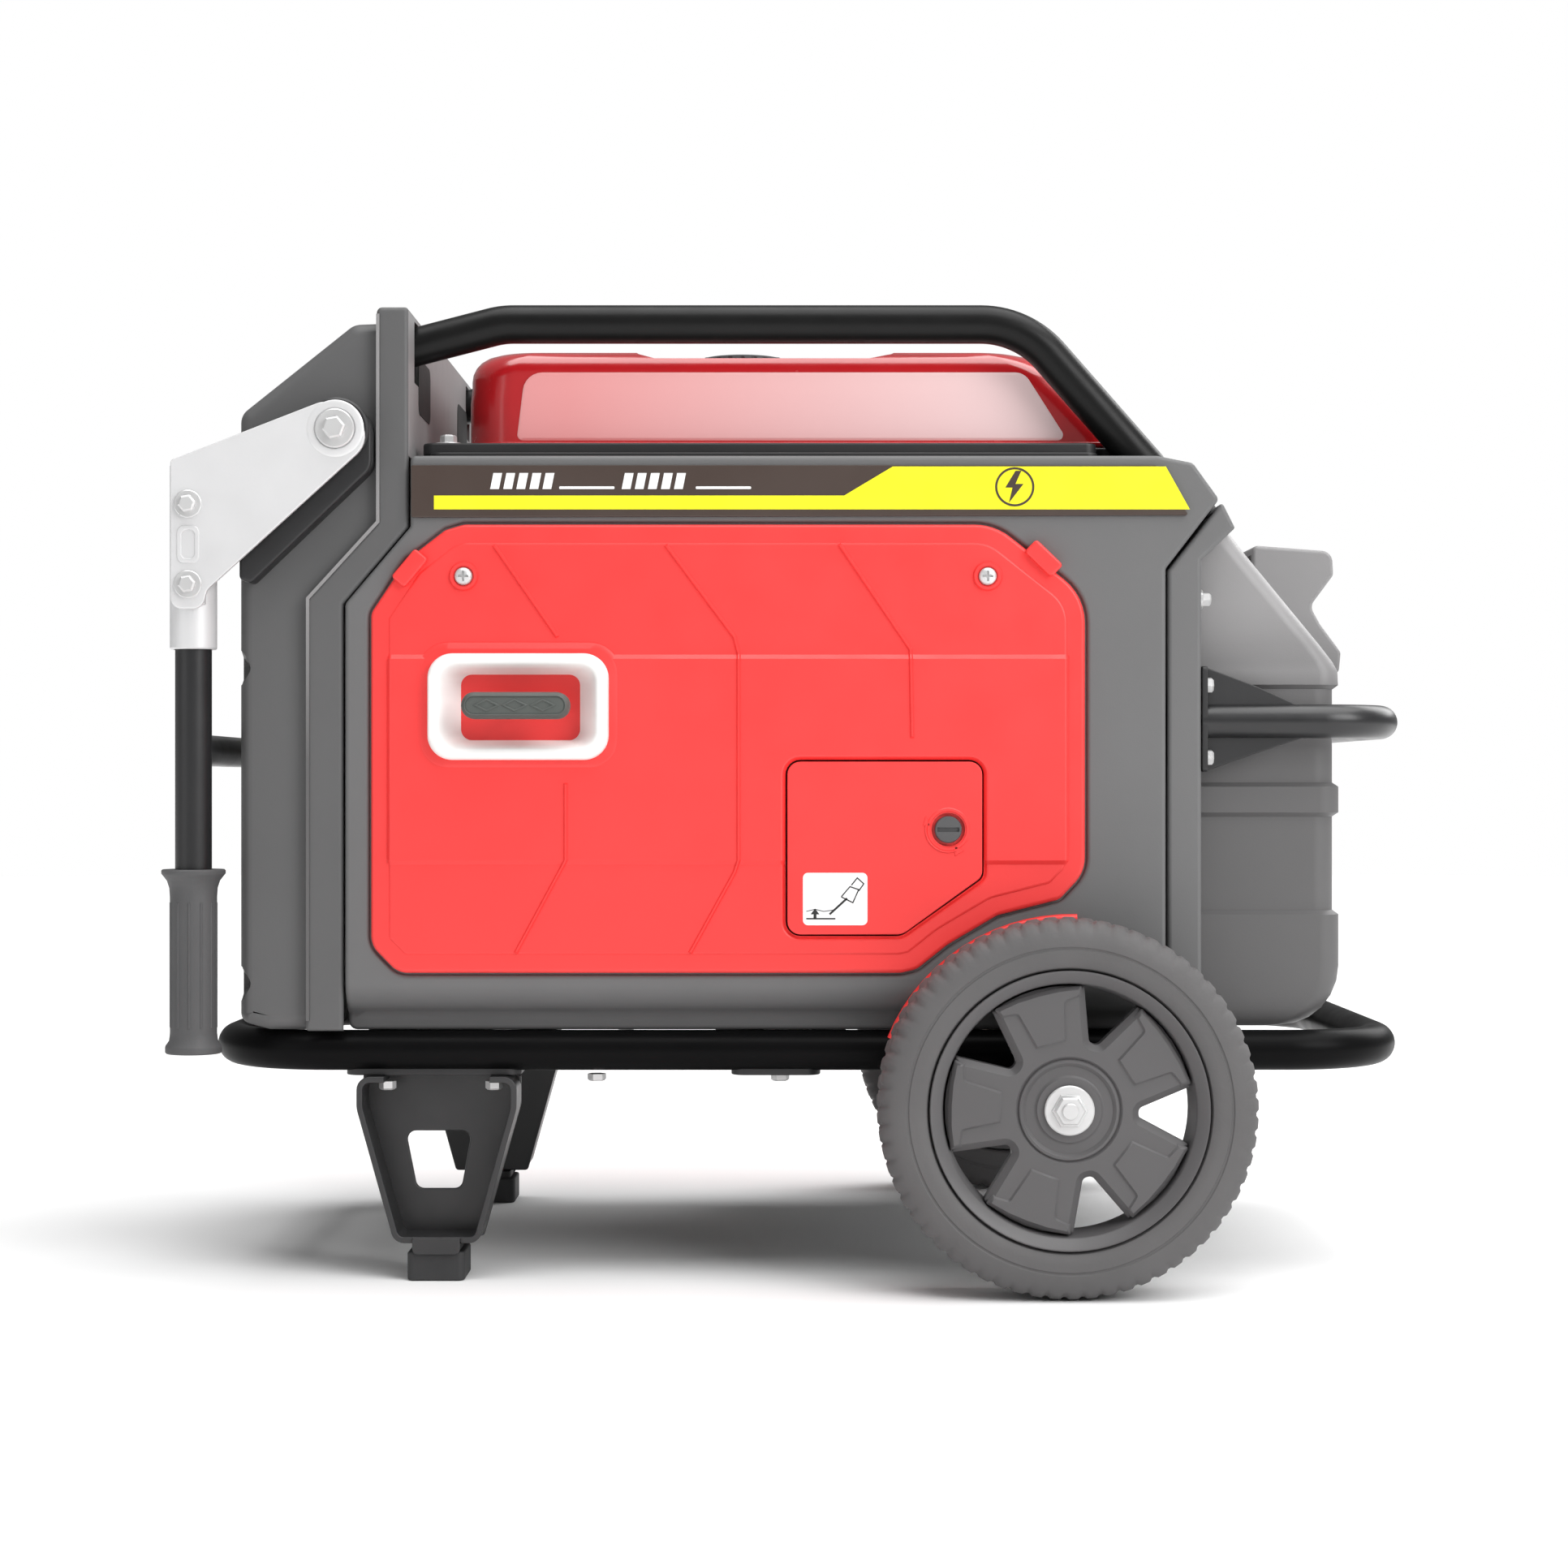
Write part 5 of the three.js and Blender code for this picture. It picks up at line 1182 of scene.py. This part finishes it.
def makeTank():
    r, capAt = tankSize["corner"], tankSize["cap"]
    tray = layered("tankTray", "plan", rounded([(-259, -181), (214, -181), (214, -151), (259, -151),
                                                (259, 151), (214, 151), (214, 181), (-259, 181)], 8),
                   bothEdges(573.5, 582.6, 1.6))
    lip = layered("tankTrayLip", "plan", rounded([(-253, -190), (214, -190), (214, -151), (251, -151),
                                                  (251, 151), (214, 151), (214, 190), (-253, 190)], 8),
                  bothEdges(570.5, 575, 1.2))
    dress(tray, finishes["blackSheet"], "chassis", "tank_tray")
    dress(lip, finishes["blackSheet"], "chassis")

    rings = [(tankOutline(0, r, z), z) for z in (583, 590, 604, 618)]
    rings.append((tankOutline(-1, r, 628), 628))
    for a in range(0, 91, 15):
        t = math.radians(a)
        z = 634 + 20 * math.sin(t)
        rings.append((tankOutline(-1 - 20 * (1 - math.cos(t)), r, z), z))
    body = loft("fuelTank", "plan", rings, 30)
    dip = layered("tool", "side", rounded([(-124, 670), (-110, 652), (-98, 648.2), (56, 648.2),
                                           (72, 652), (92, 670)], 6), [(0, -200), (0, 200)])
    carve(body, dip)
    seam = layered("tankSeam", "plan", tankOutline(4, 36, 587), bothEdges(584, 587, 0.9))
    # thin sheet on each tank side that carries the painted reflection
    pad = layered("tankSideReflection", "side", rounded([(-196, 588.5, 4), (197, 588.5, 4), (166, 637, 12),
                                               (-190, 637, 14)], 0),
                  [(0, -144), (0, -145.1), (1.6, -145.9)])
    dressBoth(pad, finishes["tankPaintedReflection"], "chassis")
    whole = joined("tankBody", [body, seam])
    dress(whole, finishes["tankRed"], "chassis", "fuel_tank")
    for i, x in enumerate((-243, 249)):
        makeBolt("tankBolt%d" % i, "z", (x, -158 if i == 0 else -140), 582.7, 1, 6, 6, "chassis",
                 both=True, washer=10)
    cap = [(0, 653.3), (35.5, 653.3), (37, 655), (37, 661.5), (35.5, 664.8), (31, 666.6), (24, 667.2),
           (0, 667.2)]
    lid = turned("fuelCap", cap, "z", capAt, 96)
    flutes = [turned("tool", [(0, 656), (3.6, 656), (3.6, 680), (0, 680)], "z",
                     onCircle(capAt, 38.6, 15 * k), 16) for k in range(24)]
    lid = carve(lid, *flutes)
    bar = boxPiece("fuelCapBar", -66, -8, -6, 6, 665, 668.4, 1.4)
    neck = turned("fuelNeck", [(26, 640), (33, 640), (33, 651), (29, 653), (26, 653)], "z",
                  capAt, 64, closed=True)
    dress(lid, finishes["darkPlastic"], "cap", "fuel_cap")
    dress(bar, finishes["darkPlastic"], "cap")
    dress(neck, finishes["zinc"], "chassis")
    print("tank made")


# folding handle

handleSize = {"pivot": (-311.5, 586), "x": -412, "y": 216, "tube": 12.5, "ribs": 12}


def makeHandle():
    s = handleSize
    pivot, tubeAt = s["pivot"], (s["x"], -s["y"])
    bolts = [(-411.7, 534.5), (-411.7, 479.7)]
    outline = rounded([(-424, 564.5, 3), (-318.7, 605.4, 18), (-296, 598, 18), (-288.6, 576, 18),
                       (-399, 475.8, 10), (-402, 463, 10), (-424, 463, 8)], 0)
    plate = layered("handlePlate", "side", outline, bothEdges(-232, -236, 1.0, 3),
                    [circle(*pivot, 8.4, 40)])
    slotFrame = layered("handleSlot", "side", rectangle(-419.5, -404, 494, 520, 5),
                        [(0, -236), (0.6, -236.8), (1.4, -236.9)],
                        [rectangle(-416.2, -407.4, 497.4, 516.6, 3.4)])
    dish = turned("handleDish", [(13.5, -236.1), (14.5, -236.9), (18, -236.9), (19.6, -235.9),
                                 (13.5, -235.9)], "y", pivot, 64, closed=True)
    sleeve = turned("handleSleeve", [(12.9, 437), (13.5, 436), (15.2, 436), (16, 437), (16, 562),
                                     (15, 563.4), (13.4, 563.4), (12.9, 562)], "z", tubeAt, 64,
                    closed=True)
    land = boxPiece("handleLand", -423, -401, -233, -224, 466, 562, 1)
    dressBoth(plate, finishes["silverSheet"], "handle", "handle_plate")
    for extra in (slotFrame, dish, sleeve, land):
        dressBoth(extra, finishes["silverSheet"], "handle")
    for i, at in enumerate(bolts):
        makeBolt("handleBolt%d" % i, "y", at, -236, -1, 6.2, 5, "handle", both=True, washer=9.5)
    for side, name in ((-1, "Near"), (1, "Far")):
        r = s["tube"]
        tube = turned("handleTube" + name, [(0, 162.4), (r, 162.4), (r, 559.6), (0, 559.6)], "z",
                      (s["x"], side * s["y"]), 48)
        dress(tube, finishes["blackTube"], "handle", "handle_frame" if side < 0 else ())
    bar = turned("handleBar", [(0, -214), (11, -214), (11, 214), (0, 214)], "y", (s["x"], 367), 48)
    dress(bar, finishes["blackTube"], "handle")
    grip = [(12.9, 284.8), (21, 284.8), (21.8, 284), (21.8, 282), (20.8, 280.6), (18, 277), (16.4, 272),
            (16, 266), (16, 172), (16.6, 167), (19, 163.6), (19.3, 162), (19.3, 159), (18.4, 158.1),
            (0, 158.1), (0, 162), (12.9, 162.2)]
    handgrip = turned("handGrip", grip, "z", tubeAt, 64)
    dressBoth(handgrip, finishes["gripRubber"], "handle", "grip")
    for k in range(s["ribs"]):
        x, y = onCircle(tubeAt, 15.7, 360 / s["ribs"] * k)
        rib = bentTube("gripRib%d" % k, [(x, y, 176), (x, y, 262)], [0, 0], 0.9, sides=10)
        dressBoth(rib, finishes["gripRubber"], "handle")

    bracket = layered("pivotBracket", "side", rounded([(-288.4, 560, 14), (-288.4, 606, 20),
                                                       (-330, 600, 10), (-379, 576, 4), (-379, 484, 4),
                                                       (-371, 481, 4)], 0),
                      bothEdges(-205.5, -225, 2, 3))
    pivotBoss = turned("pivotBoss", [(8.3, -222), (22, -222), (22, -230.4), (20.6, -231.6),
                                     (8.3, -231.6)], "y", pivot, 64, closed=True)
    dressBoth(bracket, finishes["blackSheet"], "chassis", "pivot_bracket")
    dressBoth(pivotBoss, finishes["blackSheet"], "chassis")
    shaft = turned("pivotShaft", [(0, -206), (8, -206), (8, -236.4), (13.4, -236.4), (13.4, -238.2),
                                  (12.6, -239), (0, -239)], "y", pivot, 48)
    dressBoth(shaft, finishes["zinc"], "chassis", "pivot_bolt")
    makeBolt("pivotHead", "y", pivot, -239, -1, 8, 5.8, "chassis", both=True)
    print("handle made")


# recoil starter

def makeStarter():
    ropeAt = starterSize["ropeAt"]
    loops = [(starterRing(*size), depth) for size, depth in (
        ((62, 36.5, 17), -222.5), ((62, 36.5, 17), -227.5), ((61, 35.5, 16.5), -230),
        ((58.5, 33.2, 15), -231.3), ((55, 30, 12.5), -231.1), ((53, 28.4, 11.5), -229.6),
        ((50, 26, 10.5), -224), ((41, 22.6, 7.5), -206), ((43, 24.6, 9), -205),
        ((51.6, 27.6, 12), -221))]
    points, faces = [], []
    n = len(loops[0][0])
    for outline, depth in loops:
        points += [(u, depth, v) for u, v in outline]
    for k in range(len(loops)):
        faces += bandFaces(k * n, (k + 1) % len(loops) * n, n)
    bezel = makePiece("starterBezel", points, faces, 40)
    dress(bezel, finishes["whiteBezel"], "chassis", "starter_bezel")
    bowl = layered("starterBowl", "side", starterRing(42.5, 24, 8), [(0, -203.6), (0, -206.4)],
                   [circle(*ropeAt, 5.5, 32)])
    dress(bowl, finishes["redPanel"], "chassis")

    gripShape = rectangle(-224.4, -150.8, 387.6, 405.9, 9, 8)
    grip = layered("starterGrip", "side", gripShape, bothEdges(-232.2, -251.6, 4.5, 5))
    ridges = []
    for k in range(3):
        x = -206.6 + k * 19
        diamond = [(x - 9.2, 396.8), (x, 392.2), (x + 9.2, 396.8), (x, 401.4)]
        ridges.append(layered("gripDiamond%d" % k, "side", diamond,
                              [(0, -251), (0, -251.9), (0.5, -252.4)], [inset(diamond, 1.5)]))
    edge = rectangle(-222.6, -152.6, 389.6, 404, 7, 8)
    ridges.append(layered("gripEdge", "side", edge, [(0, -249), (0.3, -251.9), (0.8, -252.3)],
                          [inset(edge, 1.6)]))
    stem = turned("gripStem", [(0, -226), (7.6, -226), (7.6, -233), (0, -233)], "y", ropeAt, 32)
    whole = joined("starterHandle", [grip, stem] + ridges)
    dress(whole, finishes["pullRubber"], "starter_pull", "starter_grip")
    rope = turned("starterRope", [(0, -238), (2.5, -238), (2.5, -3), (0, -3)], "y", ropeAt, 24)
    dress(rope, finishes["ropeWeave"], "starter_pull", "starter_rope")
    print("starter made")


# maintenance door

doorSize = {"knob": (107.5, 312.2), "arrow": 15.5}


def makeDoor():
    knobAt = doorSize["knob"]
    door = layered("maintenanceDoor", "side", doorShape(-0.1), softEdge(-214.9, -221.7, 0.8, 2),
                   [circle(*knobAt, 11.4, 40)])
    back = layered("doorBack", "side", doorShape(-3), [(0, -214.9), (0, -217.8)],
                   [circle(*knobAt, 4.6, 32)])
    well = turned("doorWell", [(11.3, -218), (11.3, -220.8), (12.8, -222.3), (14.4, -222.3),
                               (15.6, -221.2), (12, -217.8)], "y", knobAt, 48, closed=True)
    whole = joined("doorPlate", [door, back, well])
    dress(whole, finishes["redPanel"], "door", "maintenance_door")
    spots = [onCircle(knobAt, doorSize["arrow"], a) for a in range(165, 292, 9)]
    arc = [(x, -221.9, z) for x, z in spots]
    arrow = bentTube("doorArrow", arc, [0] + [12] * (len(arc) - 2) + [0], 0.7, sides=10, bendSteps=2)
    tip = layered("doorArrowTip", "side", [(112, 293.8), (118.5, 297.6), (112, 301)],
                  [(0, -221.6), (0.3, -222.3)])
    start = layered("doorArrowStart", "side", [(90.0, 314.5), (91.8, 321.5), (95.2, 314.9)],
                   [(0, -221.6), (0.3, -222.3)])
    dress(joined("turnMark", [arrow, tip, start]), finishes["redPanel"], "door")
    # a near black ring behind the gap round the door: painted shade in the gap
    seam = layered("doorSeam", "side", doorShape(2.2), [(0, -212.2), (0, -213.2)], [doorShape(-2)])
    dress(seam, finishes["gapShade"], "chassis")

    head = turned("knobHead", [(0, -218), (9.3, -218), (9.3, -222.6), (8.6, -223.5), (0, -223.8)],
                  "y", knobAt, 48)
    slot = layered("tool", "side", rectangle(knobAt[0] - 7.6, knobAt[0] + 7.6, knobAt[1] - 1.5,
                                             knobAt[1] + 1.5), [(0, -226), (0, -221.8)])
    knob = carve(head, slot)
    dress(knob, finishes["gripRubber"], "knob", "door_knob")
    stem = turned("knobStem", [(0, -214.6), (3.8, -214.6), (3.8, -218.5), (0, -218.5)], "y", knobAt, 24)
    dress(stem, finishes["darkPlastic"], "knob")
    makeLabel()
    print("door made")


def makeLabel():
    card = layered("doorLabel", "side", rectangle(7.7, 52, 246.5, 282.5, 3.5),
                   [(0, -221.6), (0, -221.95)])
    dress(card, finishes["paper"], "door")
    ink = [ribbon("labelGround", [(10, 251), (30, 251)], 1.0, -221.9, -222.1),
           ribbon("labelWaves", [(10, 256), (16, 257.5), (22, 256), (29, 257)], 0.5, -221.9, -222.1),
           ribbon("labelShaft", [(26, 254), (38, 265)], 1.4, -221.9, -222.1),
           ribbon("labelBody", [(34, 266), (40, 273), (46, 271), (42, 262), (34, 266)], 0.8,
                  -221.9, -222.1),
           ribbon("labelCap", [(41, 274), (45, 279), (49.5, 275), (46, 270)], 0.8, -221.9, -222.1),
           layered("labelArrow", "side", [(15, 251), (17, 251), (17, 254), (19, 254), (16, 258),
                                          (13, 254), (15, 254)], [(0, -221.9), (0, -222.1)])]
    dress(joined("labelInk", ink), finishes["ink"], "door")


# front controls

def keepCad(node, finishName, width):
    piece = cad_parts[node]
    piece.data.materials.clear()
    piece.data.materials.append(finishes[finishName])
    weld = piece.modifiers.new("weld", "WELD")
    weld.merge_threshold = 0.00002
    flat = piece.modifiers.new("flatten", "DECIMATE")
    flat.decimate_type = "DISSOLVE"
    flat.angle_limit = math.radians(4)
    edge = piece.modifiers.new("edges", "BEVEL")
    edge.width = width / 1000
    edge.segments = 3
    edge.limit_method = "ANGLE"
    edge.angle_limit = math.radians(32)
    edge.harden_normals = False
    for face in piece.data.polygons:
        face.use_smooth = True
    return evenShading(piece)


controls = {
    "face": -381.0, "row": 520, "dial": -95, "breaker": 100, "sockets": (-100, -35), "socketZ": 291,
    "fromCad": {"start_dial": ("redPanel", 1.2), "eco_rocker": ("darkPlastic", 0.6),
                "breaker_button": ("redPanel", 0.8), "outlet_block": ("darkPlastic", 0.9),
                "outlet_cover": ("gripRubber", 1.2), "status_display": ("darkPlastic", 0.9)},
    "lamps": (("lampGreen", 70, "yellowFilm"), ("lampRed", 84, "redPanel"),
              ("lampAmber", 98, "yellowFilm")),
}


def makeControls():
    s = controls
    face, row = s["face"], s["row"]
    holes = [circle(s["dial"], row, 5.6, 32), rectangle(-25.8, 25.8, row - 10.6, row + 10.6, 1),
             circle(s["breaker"], row, 6.4, 32)]
    plate = layered("controlPlate", "front", rectangle(-149, 149, 237, 589, 13),
                    softEdge(-377.4, face, 1.2), holes)
    dress(plate, finishes["darkPlastic"], "chassis", "control_panel")
    band = layered("controlBand", "front", rectangle(-138, 138, 486, 556, 6),
                   [(0, face + 0.1), (0, face - 0.2)], holes)
    dress(band, finishes["brownTrim"], "chassis")
    stripe = layered("controlStripe", "front", rectangle(-138, 138, 562, 569, 1),
                     [(0, face + 0.1), (0, face - 0.25)])
    dress(stripe, finishes["yellowFilm"], "chassis")
    for i in range(5):
        y, z = onCircle((s["dial"], row), 26, 30 + 30 * i)
        dot = turned("dialMark%d" % i, [(0, face), (1.6, face), (1.6, face - 0.5), (0, face - 0.6)],
                     "x", (y, z), 20)
        dress(dot, finishes["paper"], "chassis")
    for node, (look, width) in s["fromCad"].items():
        keepCad(node, look, width)
    glass = layered("displayGlass", "front", rectangle(-41, 41, 409, 461, 3),
                    [(0, face - 0.4), (0, face - 2.2), (0.4, face - 2.6)])
    dress(glass, finishes["glass"], "chassis")
    for i in range(4):
        bar = boxPiece("displayBar%d" % i, face - 2.9, face - 2.4, -34 + i * 18, -22 + i * 18, 418,
                       430 + i * 7, 0.3)
        dress(bar, finishes["yellowFilm"], "chassis")
    for i, y in enumerate(s["sockets"]):
        insert = turned("outletInsert%d" % i, [(0, face - 2), (20.5, face - 2), (20.5, face - 4.4),
                                               (19.5, face - 5.2), (0, face - 5.2)],
                        "x", (y, s["socketZ"]), 56)
        slots = []
        for a in (math.radians(90), math.radians(180), math.radians(270), 0):
            corners = [(y + u * math.cos(a) - w * math.sin(a),
                        s["socketZ"] + u * math.sin(a) + w * math.cos(a))
                       for u, w in ((8, -4.5), (11, -4.5), (11, 4.5), (8, 4.5))]
            slots.append(layered("tool", "front", rounded(corners, 0.8, 2),
                                 [(0, face - 7), (0, face - 3.4)]))
        dress(carve(insert, *slots), finishes["footRubber"], "chassis")
    for i, z in enumerate((276, 306)):
        insert = boxPiece("duplex%d" % i, face - 9.6, face - 8, 12, 30, z - 10, z + 10, 0.6)
        slots = [block(face - 12, face - 8.6, y, y + 1.8, z - 3, z + 5) for y in (16, 24)]
        dress(carve(insert, *slots), finishes["footRubber"], "chassis")
    for name, y, look in s["lamps"]:
        dome = turned(name, [(0, face), (3.4, face), (3.2, face - 1.4), (2, face - 2.4),
                             (0, face - 2.7)], "x", (y, 436), 28)
        dress(dome, finishes[look], "chassis")
    ground = turned("groundStud", [(0, face), (7, face), (7, face - 2), (3, face - 2.2), (3, face - 9),
                                   (0, face - 9.6)], "x", (118, 372), 28)
    dress(ground, finishes["brass"], "chassis")
    for i, (y, z) in enumerate(((-140, 246), (140, 246), (-140, 580), (140, 580))):
        head = turned("faciaScrew%d" % i, [(0, face), (4.4, face), (4.2, face - 1.4), (2.6, face - 2.2),
                                           (0, face - 2.4)], "x", (y, z), 28)
        slot = layered("tool", "front", rectangle(y - 3, y + 3, z - 0.5, z + 0.5),
                       [(0, face - 3), (0, face - 1.4)])
        dress(carve(head, slot), finishes["zinc"], "chassis")
    print("controls made")


# machinery inside

engine = {
    "axis": (0, 342), "coils": 10, "coilRing": 85, "coilX": -117,
    "fromCad": {"engine_block": ("castAlloy", 1.4), "cylinder_head": ("castAlloy", 1.2),
                "stator": ("copper", 1.0), "rotor": ("castAlloy", 0.8),
                "inverter_module": ("castAlloy", 0.7), "muffler": ("exhaustSteel", 1.2),
                "air_cleaner": ("darkPlastic", 2.0), "battery": ("darkPlastic", 1.6),
                "oil_cap": ("yellowPlastic", 1.0), "recoil_pulley": ("darkPlastic", 0.8)},
}


def makeInside():
    s = engine
    for node, (look, width) in s["fromCad"].items():
        keepCad(node, look, width)
    for i in range(s["coils"]):
        ends = [(s["coilX"],) + onCircle(s["axis"], s["coilRing"] * part, 360 / s["coils"] * i)
                for part in (0.86, 1.17)]
        coil = bentTube("coil%d" % i, ends, [0, 0], 6, sides=16)
        dress(coil, finishes["copper"], "chassis")
    print("inside made")


# everything in order

makeBase()
makeHoops()
makeBumper()
makeLegs()
makeWheels()
makeShells()
makePanels()
makeTrim()
makeFront()
makeRear()
makeTank()
makeHandle()
makeStarter()
makeDoor()
makeControls()
makeInside()


# studio

studio = {
    "surround": 0.28, "sun": 3.3, "sunSpread": 62, "sunWay": (-0.15, 0.1, -1),
    "aimAt": (0, 0, 0.32), "floorRadius": 9, "lens": 66.8, "cameraAt": (-0.0053, -2.220, 0.3435),
    "lamps": {
        "keyLamp": {"at": (2.2, -2.4, 1.9), "size": 1.8, "power": 72},
        "fillLamp": {"at": (-2.6, -2.2, 1.2), "size": 2.0, "power": 9},
        "rearLamp": {"at": (2.2, 1.8, 2.0), "size": 1.8, "power": 42},
    },
}


def makeStudio():
    mesh = bpy.data.meshes.new("studioFloor")
    sides = 96
    points = [(x, y, 0) for x, y in circle(0, 0, studio["floorRadius"], sides)]
    mesh.from_pydata(points, [], [tuple(range(sides))])
    floor = placed("studioFloor", mesh)
    mat = bpy.data.materials.new("studio floor")
    mat.use_nodes = True
    nodes, links = mat.node_tree.nodes, mat.node_tree.links
    shader = nodes["Principled BSDF"]
    shader.inputs["Base Color"].default_value = (0.9, 0.9, 0.9, 1)
    shader.inputs["Specular IOR Level"].default_value = 0.2
    speck = nodes.new("ShaderNodeTexNoise")
    speck.inputs["Scale"].default_value = 14
    spread = nodes.new("ShaderNodeMapRange")
    spread.inputs["To Min"].default_value = 0.55
    spread.inputs["To Max"].default_value = 0.65
    links.new(speck.outputs["Fac"], spread.inputs["Value"])
    links.new(spread.outputs["Result"], shader.inputs["Roughness"])
    mesh.materials.append(mat)

    # white surround behind everything, with much less light coming from it
    world = bpy.data.worlds.new("studio")
    bpy.context.scene.world = world
    world.use_nodes = True
    nodes, links = world.node_tree.nodes, world.node_tree.links
    seen = nodes["Background"]
    seen.inputs["Color"].default_value = (1, 1, 1, 1)
    seen.inputs["Strength"].default_value = 1.0
    cast = nodes.new("ShaderNodeBackground")
    cast.inputs["Color"].default_value = (1, 1, 1, 1)
    cast.inputs["Strength"].default_value = studio["surround"]
    path = nodes.new("ShaderNodeLightPath")
    either = nodes.new("ShaderNodeMixShader")
    links.new(path.outputs["Is Camera Ray"], either.inputs["Fac"])
    links.new(cast.outputs["Background"], either.inputs[1])
    links.new(seen.outputs["Background"], either.inputs[2])
    links.new(either.outputs["Shader"], nodes["World Output"].inputs["Surface"])

    sun = bpy.data.lights.new("skyLamp", "SUN")
    sun.energy = studio["sun"]
    sun.angle = math.radians(studio["sunSpread"])
    sky = placed("skyLamp", sun)
    sky.rotation_euler = Vector(studio["sunWay"]).to_track_quat("-Z", "Y").to_euler()

    for name, lamp in studio["lamps"].items():
        data = bpy.data.lights.new(name, "AREA")
        data.shape = "SQUARE"
        data.size = lamp["size"]
        data.energy = lamp["power"]
        light = placed(name, data)
        light.location = lamp["at"]
        aim = Vector(studio["aimAt"]) - Vector(lamp["at"])
        light.rotation_euler = aim.to_track_quat("-Z", "Y").to_euler()


def makeCamera():
    data = bpy.data.cameras.new("camera")
    data.lens = studio["lens"]
    data.sensor_width = 36
    camera = placed("camera", data)
    camera.location = studio["cameraAt"]
    camera.rotation_euler = (math.radians(90), 0, 0)
    bpy.context.scene.camera = camera


makeStudio()
makeCamera()
bpy.context.scene.view_settings.view_transform = "Standard"
print("studio made")
